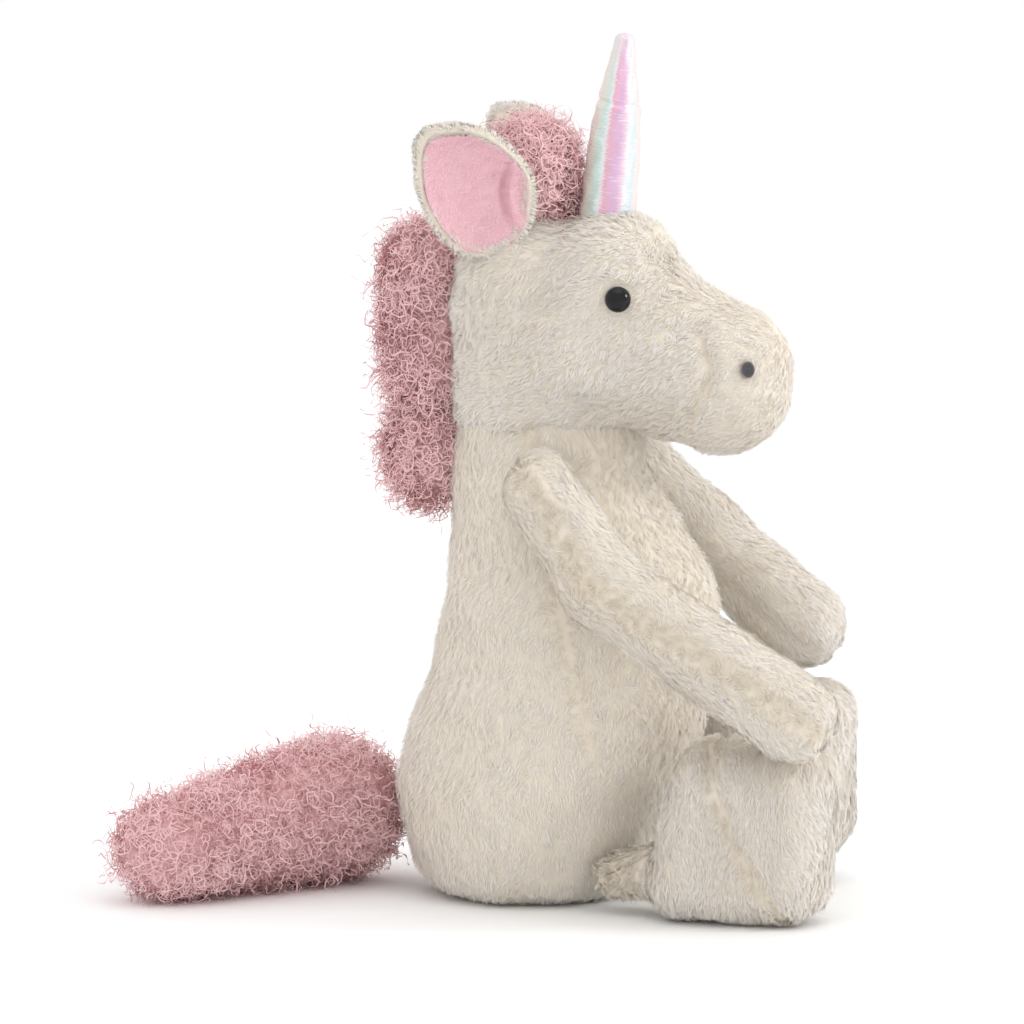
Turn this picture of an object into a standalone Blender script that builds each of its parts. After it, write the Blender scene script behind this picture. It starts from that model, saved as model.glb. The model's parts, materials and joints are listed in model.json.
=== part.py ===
"""A sitting plush unicorn, modelled as its sewn, stuffed and fitted pieces.

Metres, +Z up. The unicorn faces -Y, so its own right side is -X. The origin is
the middle of the flat patch it sits on. Each soft piece is a closed solid that
follows a distance field, so a skin, its filling and what is sewn to it all come
from the same shape at different depths.
"""

import math

import bmesh
import bpy
import numpy as np
from mathutils import Matrix, Vector

MM = 0.001

# Cloth and clearances
FUR_WALL = 1.6 * MM  # backing cloth and the foot of its pile
HORN_WALL = 0.8 * MM
LINING_THICKNESS = 1.2 * MM
GAP = 0.3 * MM  # between pieces that touch
SEWN_GAP = 0.6 * MM  # between a limb that swings and the torso
EAR_GAP = 1.6 * MM  # room for an ear to fold at its seam

# Torso
SHOULDER_HEIGHT = 151 * MM
BELLY_FRONT = 62 * MM
SEAT_BACK = 54.5 * MM
TORSO_HALF_WIDTH = 52 * MM
BEAN_LEVEL = 24 * MM  # how high the seat's beans are filled
# Height, front, back and half width, as shares of the four sizes above
TORSO_PROFILE = (
    (0.0, 0.42, 0.66, 0.65),
    (0.02, 0.51, 0.78, 0.79),
    (0.066, 0.61, 0.88, 0.895),
    (0.146, 0.69, 0.955, 0.97),
    (0.265, 0.79, 1.0, 1.0),
    (0.40, 0.89, 0.92, 0.98),
    (0.53, 0.97, 0.78, 0.92),
    (0.695, 0.975, 0.69, 0.82),
    (0.78, 0.895, 0.67, 0.76),
    (0.86, 0.765, 0.66, 0.715),
    (0.935, 0.637, 0.655, 0.683),
)

# Neck, where the head's concave end rides on the torso's domed end
NECK_FRONT = 33.8 * MM
NECK_BACK = 35.3 * MM
NECK_HALF_WIDTH = 31.5 * MM
NOD_RADIUS = 1.59 * NECK_HALF_WIDTH
NOD_DROP = 21 * MM  # from the shoulders down to the nodding axis

# Head, with its heights above the nodding axis
HEAD_HALF_WIDTH = 31 * MM
HEAD_CENTRE = (0, -8 * MM, 75 * MM)
CROWN_TOP = 112 * MM
MUZZLE_HALF_WIDTH = 25 * MM
MUZZLE_FRONT = 88 * MM
MUZZLE_SEAM = 61 * MM
HEAD_BLEND = 8 * MM

# Eyes, nostrils and horn
EYE_RADIUS = 4.5 * MM
EYE_AIM = (-27 * MM, -32 * MM, 82 * MM)
SHANK_RADIUS = 1.8 * MM
SHANK_LENGTH = 7 * MM
WASHER_RADIUS = 6 * MM
WASHER_THICKNESS = 1.2 * MM
WASHER_SEAT = 1.7 * MM  # under the wall, which curves away
NOSTRIL_RADIUS = 2.6 * MM
NOSTRIL_THICKNESS = 1.0 * MM
NOSTRIL_AIM = (-19.5 * MM, -76 * MM, 59 * MM)
HORN_BASE_RADIUS = 9.4 * MM
HORN_HEIGHT = 60.3 * MM
HORN_SETBACK = 21.5 * MM
HORN_TILT = math.radians(5.8)
# Height and radius, as shares of the two sizes above
HORN_PROFILE = ((0.1, 1.0), (0.38, 0.93), (0.61, 0.77), (0.83, 0.47), (0.97, 0.29), (1.0, 0.2))

# Ears
EAR_HALF_WIDTH = 21 * MM
EAR_HALF_HEIGHT = 28 * MM
EAR_THICKNESS = 7 * MM
EAR_RIM = 5 * MM
EAR_CENTRE = (-30 * MM, 18 * MM, 121 * MM)
EAR_TURN = math.radians(22)  # how far the lining turns from sideways to the front
EAR_SPLAY = math.radians(12)
# The outline from its back edge over the top, as shares of the half width and half height
EAR_OUTLINE = (
    (1.0, 0.1),
    (0.98, 0.46),
    (0.89, 0.71),
    (0.62, 0.8),
    (-0.02, 0.76),
    (-0.37, 0.62),
    (-0.71, 0.36),
    (-0.91, 0.14),
    (-0.98, -0.06),
    (-0.94, -0.37),
    (-0.81, -0.7),
    (-0.45, -0.98),
    (0.0, -1.0),
    (0.39, -0.89),
    (0.64, -0.66),
    (0.9, -0.29),
)

# Curly yarn
MANE_HALF_WIDTH = 16 * MM
MANE_DEPTH = 28 * MM
MANE_FOOT = 22 * MM  # below the shoulders
MANE_TOP = 106 * MM  # above the nodding axis
MANE_PART = 0.23 * NECK_HALF_WIDTH  # slack where the mane crosses the neck
FORELOCK_CENTRE = (0, 5 * MM, 121 * MM)
FORELOCK_RADII = (17 * MM, 17 * MM, 23 * MM)
TAIL_ROOT_RADIUS = 25 * MM
TAIL_END_RADIUS = 18 * MM
TAIL_LENGTH = 74 * MM
TAIL_SWEEP = math.radians(57)  # from straight back towards its right
TAIL_MOUTH = 9 * MM

# Arms: radius at the shoulder, the elbow and the hand
ARM_RADII = (13.5 * MM, 14.8 * MM, 16.5 * MM)
SHOULDER_SETBACK = 9 * MM
ARM_ROOT_DROP = 11 * MM  # where the arm's flat root comes nearest to the sloping torso
# How far outside the arm's flat root, how far ahead of the middle, and how high: below the shoulders for the
# shoulder and the elbow, above the foot's top for the hand
RIGHT_ARM = ((14.2 * MM, 13 * MM, 3 * MM), (19.9 * MM, 36 * MM, 33 * MM), (25.6 * MM, 106.5 * MM, 11 * MM))
LEFT_ARM = ((14.2 * MM, 13 * MM, 5 * MM), (23.5 * MM, 38 * MM, 33 * MM), (21.5 * MM, 73 * MM, 17.5 * MM))

# Legs
FOOT_HALF_WIDTH = 20.5 * MM
FOOT_HALF_LENGTH = 34.5 * MM
FOOT_HEIGHT = 0.4305 * SHOULDER_HEIGHT
FOOT_ROUNDING = 16 * MM
# How far to the side, as a share of the torso's half width; how far ahead; and how high over the ground
RIGHT_FOOT = (0.75, 79 * MM, 0)
LEFT_FOOT = (0.95, 60 * MM, 7 * MM)
FOOT_TAPER = 0.26
FOOT_LEAN = 10 * MM  # how far the top sits ahead
HIP_RADIUS = 8.5 * MM
HIP_HEIGHT = 14 * MM
HIP_SPREAD = 36 * MM
HIP_MOUTH = 5 * MM
HIP_CLEARANCE = 4.2 * MM  # ahead of the torso, so the leg can swing down past it
FOOT_BEAN_LEVEL = 17 * MM

NOD_AXIS = np.array((0, 0, SHOULDER_HEIGHT - NOD_DROP))


def clear_scene():
    for obj in list(bpy.data.objects):
        bpy.data.objects.remove(obj, do_unlink=True)


def material(name, colour, roughness, metallic=0.0):
    made = bpy.data.materials.new(name)
    made.use_nodes = True
    shader = made.node_tree.nodes["Principled BSDF"]
    shader.inputs["Base Color"].default_value = (*colour, 1)
    shader.inputs["Roughness"].default_value = roughness
    shader.inputs["Metallic"].default_value = metallic
    return made


def add_object(name, points, faces, look):
    """One mesh object; a look of None makes a cutter."""
    mesh = bpy.data.meshes.new(name)
    mesh.from_pydata([tuple(map(float, p)) for p in points], [], faces)
    shape = bmesh.new()
    shape.from_mesh(mesh)
    bmesh.ops.recalc_face_normals(shape, faces=shape.faces)
    bmesh.ops.triangulate(shape, faces=shape.faces, quad_method="FIXED")
    shape.to_mesh(mesh)
    shape.free()
    obj = bpy.data.objects.new(name, mesh)
    bpy.context.collection.objects.link(obj)
    if look is None:
        obj.hide_render = True
        obj.display_type = "WIRE"
    else:
        mesh.materials.append(look)
        mesh.shade_smooth()
    return obj


def loft(name, rings, look):
    """A closed skin through rings of points, each end closed to its middle."""
    count = len(rings[0])
    points = [p for ring in rings for p in ring]
    faces = []
    for i in range(len(rings) - 1):
        for j in range(count):
            k = (j + 1) % count
            faces.append((i * count + j, i * count + k, (i + 1) * count + k, (i + 1) * count + j))
    for ring_start, ring in ((0, rings[0]), ((len(rings) - 1) * count, rings[-1])):
        middle = len(points)
        points.append(np.mean(ring, axis=0))
        faces += [(ring_start + j, ring_start + (j + 1) % count, middle) for j in range(count)]
    return add_object(name, points, faces, look)


def cut(obj, cutter):
    boolean = obj.modifiers.new("cut_" + cutter.name, "BOOLEAN")
    boolean.operation = "DIFFERENCE"
    boolean.object = cutter
    boolean.solver = "EXACT"
    return obj


def slice_off(obj, point, normal):
    """Removes what lies on the side that normal points to, and closes the cut."""
    shape = bmesh.new()
    shape.from_mesh(obj.data)
    everything = shape.verts[:] + shape.edges[:] + shape.faces[:]
    made = bmesh.ops.bisect_plane(
        shape, geom=everything, plane_co=point, plane_no=normal, clear_outer=True
    )
    edges = [g for g in made["geom_cut"] if isinstance(g, bmesh.types.BMEdge)]
    bmesh.ops.holes_fill(shape, edges=edges)
    bmesh.ops.recalc_face_normals(shape, faces=shape.faces)
    shape.to_mesh(obj.data)
    shape.free()
    return obj


def rod(name, start, end, radius, look, sides=16):
    """A plain round bar between two points."""
    start, end = Vector(start), Vector(end)
    turn = (end - start).to_track_quat("Z", "Y")
    angles = [2 * math.pi * j / sides for j in range(sides)]
    circle = [turn @ Vector((radius * math.cos(a), radius * math.sin(a), 0)) for a in angles]
    return loft(name, [[start + c for c in circle], [end + c for c in circle]], look)


# Distance fields: negative inside, positive outside, in metres


def egg(points, centre, radii):
    """About the distance to an ellipsoid."""
    away = points - np.array(centre)
    near = np.linalg.norm(away / np.array(radii), axis=-1)
    steep = np.linalg.norm(away / np.array(radii) ** 2, axis=-1)
    return near * (near - 1) / np.maximum(steep, 1e-9)


def round_cone(points, start, end, start_radius, end_radius):
    """A round bar whose radius changes evenly from one end to the other."""
    start, end = np.array(start), np.array(end)
    along = np.clip((points - start) @ (end - start) / np.dot(end - start, end - start), 0, 1)
    nearest = start + along[..., None] * (end - start)
    radius = start_radius + along * (end_radius - start_radius)
    return np.linalg.norm(points - nearest, axis=-1) - radius


def round_box(points, centre, half, rounding):
    away = np.abs(points - np.array(centre)) - (np.array(half) - rounding)
    outside = np.linalg.norm(np.maximum(away, 0), axis=-1)
    return outside + np.minimum(away.max(axis=-1), 0) - rounding


def melt(first, second, width):
    """Two shapes joined with a soft crease of about this width."""
    share = np.clip(0.5 + 0.5 * (second - first) / width, 0, 1)
    return second + (first - second) * share - width * share * (1 - share)


def surface(field, centre, direction, depth=0.0):
    """Where rays from the centre come to this depth under the field's skin."""
    centre = np.array(centre)
    near = np.zeros(direction.shape[:-1])
    far = np.full(direction.shape[:-1], 0.2)
    for _ in range(40):
        middle = (near + far) / 2
        inside = field(centre + middle[..., None] * direction) < -depth
        near = np.where(inside, middle, near)
        far = np.where(inside, far, middle)
    return centre + near[..., None] * direction


def skin(name, field, centre, pole, depth, look, rings=12, sides=14, crowd=1.0, stretch=1.0):
    """The closed skin of a field, seen from its centre, its rings round the pole.

    A crowd over 1 draws the rings towards the pole; a stretch over 1 spaces them
    evenly along a long shape.
    """
    turn = np.array(Vector(pole).to_track_quat("Z", "Y").to_matrix())
    loops = []
    for i in range(rings):
        polar = math.pi * ((i + 0.5) / rings) ** crowd
        polar = math.atan2(math.sin(polar), stretch * math.cos(polar))
        around = 2 * math.pi * np.arange(sides) / sides
        flat = np.stack(
            (
                math.sin(polar) * np.cos(around),
                math.sin(polar) * np.sin(around),
                np.full(sides, math.cos(polar)),
            ),
            axis=-1,
        )
        loops.append(list(surface(field, centre, flat @ turn.T, depth)))
    made = loft(name, loops, look)
    for end, sign in ((-2, 1), (-1, -1)):
        tip = surface(field, centre, sign * turn[:, 2][None, :], depth)[0]
        made.data.vertices[end].co = tip
    return made


# The torso and head shapes


def torso_section(height):
    """Front, back and half width of the torso at one height."""
    levels = [row[0] * SHOULDER_HEIGHT for row in TORSO_PROFILE]
    levels += [SHOULDER_HEIGHT, SHOULDER_HEIGHT + NOD_DROP]
    fronts = [row[1] * BELLY_FRONT for row in TORSO_PROFILE] + [NECK_FRONT * 1.03, NECK_FRONT]
    backs = [row[2] * SEAT_BACK for row in TORSO_PROFILE] + [NECK_BACK, NECK_BACK]
    widths = [row[3] * TORSO_HALF_WIDTH for row in TORSO_PROFILE] + [NECK_HALF_WIDTH * 1.01, NECK_HALF_WIDTH]
    return tuple(float(np.interp(height, levels, values)) for values in (fronts, backs, widths))


def torso_front_at(side, height):
    """How far forward the torso's surface is at one distance from the middle."""
    front, back, half_width = torso_section(height)
    share = min(abs(side) / half_width, 0.99)
    return (front - back) / 2 + (front + back) / 2 * math.sqrt(1 - share**2)


def torso_ring(height, depth, scale=1.0, domed=False):
    front, back, half_width = torso_section(height)
    ring = []
    for j in range(24):
        angle = 2 * math.pi * j / 24
        x = scale * (half_width - depth) * math.cos(angle)
        y = (back - front) / 2 + scale * ((front + back) / 2 - depth) * math.sin(angle)
        z = height
        if domed:
            z = NOD_AXIS[2] + math.sqrt(NOD_RADIUS**2 - x * x - y * y)
        ring.append((x, y, z))
    return ring


def head_field(points):
    """The head, neck and muzzle as one soft shape."""
    points = points - NOD_AXIS
    top = CROWN_TOP
    back = np.array((0, 8 * MM, top - 31 * MM))
    crown = egg(points, back, (HEAD_HALF_WIDTH, NECK_BACK - back[1], 31 * MM))
    brow = egg(points, (0, -23 * MM, top - 30 * MM), (HEAD_HALF_WIDTH - 0.5 * MM, 25 * MM, 29.5 * MM))
    cheek = egg(points, (0, -16 * MM, top - 52 * MM), (HEAD_HALF_WIDTH + 1.5 * MM, 32 * MM, 24.5 * MM))
    bridge_width = (HEAD_HALF_WIDTH + MUZZLE_HALF_WIDTH) / 2
    bridge = egg(points, (0, -38 * MM, top - 52 * MM), (bridge_width, 26 * MM, 29.5 * MM))
    muzzle_reach = MUZZLE_FRONT - 25 * MM
    muzzle = egg(points, (0, -muzzle_reach, top - 59 * MM), (MUZZLE_HALF_WIDTH, 25 * MM, 27.8 * MM))
    middle = (NECK_BACK - NECK_FRONT) / 2
    half_depth = (NECK_BACK + NECK_FRONT) / 2
    across = np.hypot(points[..., 0] / NECK_HALF_WIDTH, (points[..., 1] - middle) / half_depth)
    column = (across - 1) * min(NECK_HALF_WIDTH, half_depth)
    neck = np.maximum(column, np.abs(points[..., 2] - 48 * MM) - 28 * MM)
    shape = melt(melt(crown, brow, HEAD_BLEND), melt(cheek, bridge, HEAD_BLEND), HEAD_BLEND)
    return melt(melt(shape, muzzle, HEAD_BLEND), neck, HEAD_BLEND / 2)


HEAD_MIDDLE = np.array(HEAD_CENTRE) + NOD_AXIS


def head_skin(name, depth, look):
    return skin(name, head_field, HEAD_MIDDLE, (0, -1, 0), depth, look, 17, 22, 1.3)


def head_spot(aim):
    """The point and outward direction of the head's skin towards an aim."""
    aim = np.array(aim) + NOD_AXIS
    ray = (aim - HEAD_MIDDLE) / np.linalg.norm(aim - HEAD_MIDDLE)
    spot = surface(head_field, HEAD_MIDDLE, ray[None, :])[0]
    step = 0.5 * MM
    slope = [head_field(spot + step * e) - head_field(spot - step * e) for e in np.eye(3)]
    return Vector(spot), Vector(slope).normalized()


def mirrored(aim, side):
    return (aim[0] * side, aim[1], aim[2])


# Pieces


def make_torso(white, filling, beans):
    heights = [row[0] * SHOULDER_HEIGHT for row in TORSO_PROFILE] + [SHOULDER_HEIGHT]
    rim = SHOULDER_HEIGHT + NOD_DROP
    outside = [torso_ring(z, 0) for z in heights] + [torso_ring(rim, 0, domed=True)]
    inner_heights = [FUR_WALL] + [z for z in heights if z > FUR_WALL + GAP]
    inside = [torso_ring(z, FUR_WALL) for z in inner_heights] + [torso_ring(rim, FUR_WALL, domed=True)]
    loft("torso_shell", outside + inside[::-1], white)
    inset = FUR_WALL + 2 * GAP
    pouch_heights = [inset] + [z for z in heights if inset + GAP < z < BEAN_LEVEL] + [BEAN_LEVEL]
    loft("seat_bean_pouch", [torso_ring(z, inset + GAP) for z in pouch_heights], beans)
    fill_heights = [BEAN_LEVEL + GAP] + [z for z in heights if z > BEAN_LEVEL + 4 * MM]
    fill = [torso_ring(z, inset) for z in fill_heights]
    fill += [torso_ring(rim, inset, share, domed=True) for share in (1, 0.7, 0.35)]
    loft("torso_stuffing", fill, filling)


def nod_sphere():
    """The head's concave end, wide enough that its flats clear the torso's dome."""
    sides = 32
    flats = math.cos(math.pi / sides) ** 2
    radius = (NOD_RADIUS + GAP) / flats
    loops = []
    for i in range(sides // 2):
        polar = math.pi * (i + 0.5) / (sides // 2)
        around = [2 * math.pi * j / sides for j in range(sides)]
        flat, up = math.sin(polar), math.cos(polar)
        loops.append([NOD_AXIS + radius * np.array((flat * math.cos(a), flat * math.sin(a), up)) for a in around])
    sphere = loft("neck_cutter", loops, None)
    for end, sign in ((-2, 1), (-1, -1)):
        sphere.data.vertices[end].co = Vector(NOD_AXIS) + Vector((0, 0, sign * radius))
    return sphere


def make_head(white, filling):
    hollow = head_skin("head_hollow", FUR_WALL, None)
    sphere = nod_sphere()
    seam = (0, -MUZZLE_SEAM, 0)
    back = slice_off(head_skin("head_shell", 0, white), Vector(seam) + Vector((0, GAP / 2, 0)), (0, -1, 0))
    front = slice_off(head_skin("muzzle_shell", 0, white), Vector(seam) - Vector((0, GAP / 2, 0)), (0, 1, 0))
    for piece in (back, front):
        cut(piece, hollow)
    stuffing = head_skin("head_stuffing", FUR_WALL + GAP, filling)
    for piece in (back, stuffing):
        cut(piece, sphere)
    return back, front, stuffing


def make_eye(tag, side, shell, stuffing, black, clear):
    spot, out = head_spot(mirrored(EYE_AIM, side))
    turn = out.to_track_quat("Z", "Y")
    sides = 12
    foot = spot + out * GAP * 2
    rows = []
    for polar in (8, 30, 52, 72, 90):
        r = EYE_RADIUS * math.sin(math.radians(polar))
        rows.append((r, EYE_RADIUS * 0.72 * math.cos(math.radians(polar)) + 0.6 * MM))
    rows += [(EYE_RADIUS, 0), (SHANK_RADIUS, 0), (SHANK_RADIUS, -SHANK_LENGTH)]
    loops = []
    for r, height in rows:
        ring = [2 * math.pi * j / sides for j in range(sides)]
        loops.append([foot + turn @ Vector((r * math.cos(a), r * math.sin(a), height)) for a in ring])
    loft(f"eye_{tag}", loops, black)
    depth = SHANK_LENGTH + 1 * MM
    hole = rod(f"eye_hole_{tag}", spot + out * 3 * MM, spot - out * depth, SHANK_RADIUS + GAP, None)
    cut(shell, hole)
    cut(shell, rod(f"eye_seat_{tag}", spot + out * 4 * MM, spot + out * GAP, EYE_RADIUS + GAP, None))
    seat = FUR_WALL + WASHER_SEAT
    washer = rod(
        f"eye_washer_{tag}",
        spot - out * seat,
        spot - out * (seat + WASHER_THICKNESS),
        WASHER_RADIUS,
        clear,
    )
    cut(washer, hole)
    pocket = rod(
        f"eye_pocket_{tag}",
        spot + out * 3 * MM,
        spot - out * (seat + WASHER_THICKNESS + GAP),
        WASHER_RADIUS + GAP,
        None,
    )
    cut(stuffing, pocket)
    cut(stuffing, hole)


def make_nostril(tag, side, envelope, thread):
    spot, out = head_spot(mirrored(NOSTRIL_AIM, side))
    front = spot + out * (GAP + NOSTRIL_THICKNESS)
    patch = rod(f"nostril_{tag}", spot - out * 2 * MM, front, NOSTRIL_RADIUS, thread, 12)
    return cut(patch, envelope)


def horn_rings(shrink, top_drop):
    """Rings up the horn from inside the head, with its blunt end."""
    axis = Vector((0, -math.sin(HORN_TILT), math.cos(HORN_TILT)))
    foot = Vector(head_spot((0, -HORN_SETBACK, CROWN_TOP))[0])
    turn = axis.to_track_quat("Z", "Y")
    rows = [(-8 * MM, HORN_BASE_RADIUS)]
    rows += [(HORN_HEIGHT * height, HORN_BASE_RADIUS * share) for height, share in HORN_PROFILE]
    loops = []
    for height, radius in rows:
        if height > 0:
            height -= top_drop
        ring = [2 * math.pi * j / 16 for j in range(16)]
        r = max(radius - shrink, 0.4 * MM)
        centre = foot + axis * height
        loops.append([centre + turn @ Vector((r * math.cos(a), r * math.sin(a), 0)) for a in ring])
    return loops


def make_horn(envelope, shimmer, filling):
    outside = horn_rings(0, 0)
    inside = horn_rings(HORN_WALL, 2 * MM)
    cover = loft("horn_cover", outside[::-1] + inside, shimmer)
    core = loft("horn_stuffing", horn_rings(HORN_WALL + GAP, 3 * MM), filling)
    cut(cover, envelope)
    cut(core, envelope)


def ear_frame(side):
    """The ear's own across, up and outward directions, and its middle."""
    out = Vector((-side * math.cos(EAR_TURN), -math.sin(EAR_TURN), 0))
    across = Vector((-side * math.sin(EAR_TURN), math.cos(EAR_TURN), 0))
    tip = Matrix.Rotation(-side * EAR_SPLAY, 3, Vector((0, 1, 0)))
    middle = Vector(mirrored(EAR_CENTRE, side)) + Vector(NOD_AXIS)
    return tip @ across, tip @ Vector((0, 0, 1)), tip @ out, middle


def ear_ring(side, scale, shrink, forward):
    across, up, out, middle = ear_frame(side)
    ring = []
    for wide, tall in EAR_OUTLINE:
        spot = Vector((wide * EAR_HALF_WIDTH, tall * EAR_HALF_HEIGHT)) * scale
        spot -= spot.normalized() * shrink
        ring.append(middle + across * spot.x + up * spot.y + out * forward)
    return ring


def make_ear(tag, side, envelope, white, pink):
    half = EAR_THICKNESS / 2
    layers = ((0.86, -half), (1.0, -half / 3), (1.0, half / 3), (0.9, half))
    back = loft(f"ear_back_{tag}", [ear_ring(side, s, 0, f) for s, f in layers], white)
    face = half + GAP
    inset = EAR_RIM * 0.6
    rings = [ear_ring(side, 0.9, inset, face), ear_ring(side, 0.88, inset, face + LINING_THICKNESS)]
    lining = loft(f"ear_lining_{tag}", rings, pink)
    cut(back, envelope)
    cut(lining, envelope)
    return back, lining


def make_mane(envelope, torso_cutter, pink):
    """The crest down the back of the neck, parted where the neck bends."""
    part = SHOULDER_HEIGHT + 8 * MM
    half_depth = MANE_DEPTH / 2 + 4 * MM
    middle = NECK_BACK + half_depth - 8 * MM

    def strip(bottom, top):
        reach = (MANE_HALF_WIDTH, half_depth, 14 * MM)

        def field(points):
            z = points[..., 2]
            flat = points.copy()
            flat[..., 2] = z - np.clip(z, bottom + reach[2], max(top - reach[2], bottom + reach[2]))
            return egg(flat, (0, middle, 0), reach)

        return field, (0, middle, (bottom + top) / 2)

    field, centre = strip(part + MANE_PART, NOD_AXIS[2] + MANE_TOP)
    upper = skin("mane_upper", field, centre, (0, 0, 1), 0, pink, 9, 12, stretch=2)
    cut(upper, envelope)
    field, centre = strip(SHOULDER_HEIGHT - MANE_FOOT, part)
    lower = skin("mane_lower", field, centre, (0, 0, 1), 0, pink, 8, 12)
    cut(lower, torso_cutter)
    return upper, lower


def make_forelock(envelope, pink):
    centre = np.array(FORELOCK_CENTRE) + NOD_AXIS
    made = skin("forelock", lambda p: egg(p, centre, FORELOCK_RADII), centre, (0, 0, 1), 0, pink, 9, 14)
    return cut(made, envelope)


def make_tail(pink, filling):
    root = np.array((0, SEAT_BACK + TAIL_ROOT_RADIUS + SEWN_GAP, TAIL_ROOT_RADIUS + GAP))
    level = TAIL_END_RADIUS - TAIL_ROOT_RADIUS
    reach = TAIL_LENGTH * np.array((-math.sin(TAIL_SWEEP), math.cos(TAIL_SWEEP), 0))
    end = root + reach + np.array((0, 0, level))

    def field(points):
        return round_cone(points, root, end, TAIL_ROOT_RADIUS, TAIL_END_RADIUS)

    centre = (root + end) / 2
    pole = tuple(end - root)

    def layer(name, depth, look):
        return skin(name, field, centre, pole, depth, look, 11, 14, stretch=2.2)

    cover = layer("tail_cover", 0, pink)
    cut(cover, layer("tail_hollow", FUR_WALL, None))
    mouth = rod("tail_mouth", root, root - np.array((0, 2 * TAIL_ROOT_RADIUS, 0)), TAIL_MOUTH, None)
    cut(cover, mouth)
    core = layer("tail_stuffing", FUR_WALL + GAP, filling)
    return root, (cover, core)


def make_arm(tag, side, points, foot_lift, white, filling):
    beside = max(torso_section(SHOULDER_HEIGHT - drop)[2] for drop in (0, ARM_ROOT_DROP))
    root_x = beside + SEWN_GAP + 1 * MM
    pivot = np.array((-side * root_x, -SHOULDER_SETBACK, SHOULDER_HEIGHT))
    foot_top = FOOT_HEIGHT + foot_lift
    heights = [SHOULDER_HEIGHT - points[0][2], SHOULDER_HEIGHT - points[1][2], foot_top + points[2][2]]
    shoulder, elbow, hand = (
        np.array((-side * (root_x + row[0]), -row[1], height)) for row, height in zip(points, heights)
    )

    def field(at):
        upper = round_cone(at, shoulder, elbow, ARM_RADII[0], ARM_RADII[1])
        fore = round_cone(at, elbow, hand, ARM_RADII[1], ARM_RADII[2])
        root = egg(at, pivot + np.array((-side * 5 * MM, 0, 0)), (13 * MM, 11 * MM, 12 * MM))
        return melt(melt(upper, fore, 6 * MM), root, 5 * MM)

    pole = tuple(hand - shoulder)

    def layer(name, depth, look):
        return skin(name, field, elbow, pole, depth, look, 12, 12, stretch=3)

    inward = (side, 0, 0)
    shell = slice_off(layer(f"arm_shell_{tag}", 0, white), pivot, inward)
    cut(shell, layer(f"arm_hollow_{tag}", FUR_WALL, None))
    core = slice_off(layer(f"arm_stuffing_{tag}", FUR_WALL + GAP, filling), pivot, inward)
    return pivot, (shell, core)


def make_leg(tag, side, foot, white, filling, beans):
    spread, reach, lift = foot[0] * TORSO_HALF_WIDTH, foot[1], foot[2]
    hip_front = torso_front_at(HIP_SPREAD, HIP_HEIGHT) + HIP_RADIUS + HIP_CLEARANCE
    pivot = np.array((-side * HIP_SPREAD, -hip_front, HIP_HEIGHT))
    centre = np.array((-side * spread, -reach, FOOT_HEIGHT / 2 + lift))
    half = (FOOT_HALF_WIDTH, FOOT_HALF_LENGTH, FOOT_HEIGHT / 2)

    def field(at):
        tall = np.clip((at[..., 2] - lift) / FOOT_HEIGHT, 0, 1)
        leaned = at.copy()
        leaned[..., 1] = centre[1] + (at[..., 1] - centre[1]) * (1 + FOOT_TAPER * tall) + FOOT_LEAN * tall
        boot = round_box(leaned, centre, half, FOOT_ROUNDING)
        root = round_cone(at, pivot, centre - np.array((0, 0, 14 * MM)), HIP_RADIUS, HIP_RADIUS * 1.4)
        return melt(boot, root, 5 * MM)

    def layer(name, depth, look):
        return skin(name, field, centre, tuple(pivot - centre), depth, look, 13, 16, 1.15)

    shell = layer(f"leg_shell_{tag}", 0, white)
    cut(shell, layer(f"leg_hollow_{tag}", FUR_WALL, None))
    cut(shell, rod(f"leg_mouth_{tag}", pivot, pivot + np.array((0, 2 * HIP_RADIUS, 0)), HIP_MOUTH, None))
    inset = FUR_WALL + GAP
    core = layer(f"leg_stuffing_{tag}", inset, filling)
    slice_off(core, (0, 0, lift + FOOT_BEAN_LEVEL + GAP), (0, 0, -1))
    pouch = layer(f"foot_bean_pouch_{tag}", inset, beans)
    slice_off(pouch, (0, 0, lift + FOOT_BEAN_LEVEL), (0, 0, 1))
    return pivot, (shell, core, pouch)


def hang(name, pivot, pieces, parent=None):
    """Puts an empty on a joint's axis and parents the moving pieces to it."""
    empty = bpy.data.objects.new(name, None)
    empty.location = pivot
    bpy.context.collection.objects.link(empty)
    if parent is not None:
        empty.parent = parent
        empty.matrix_parent_inverse = Matrix.Translation(-parent.location)
    for piece in pieces:
        piece.parent = empty
        piece.matrix_parent_inverse = Matrix.Translation(-Vector(pivot))
    return empty


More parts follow.
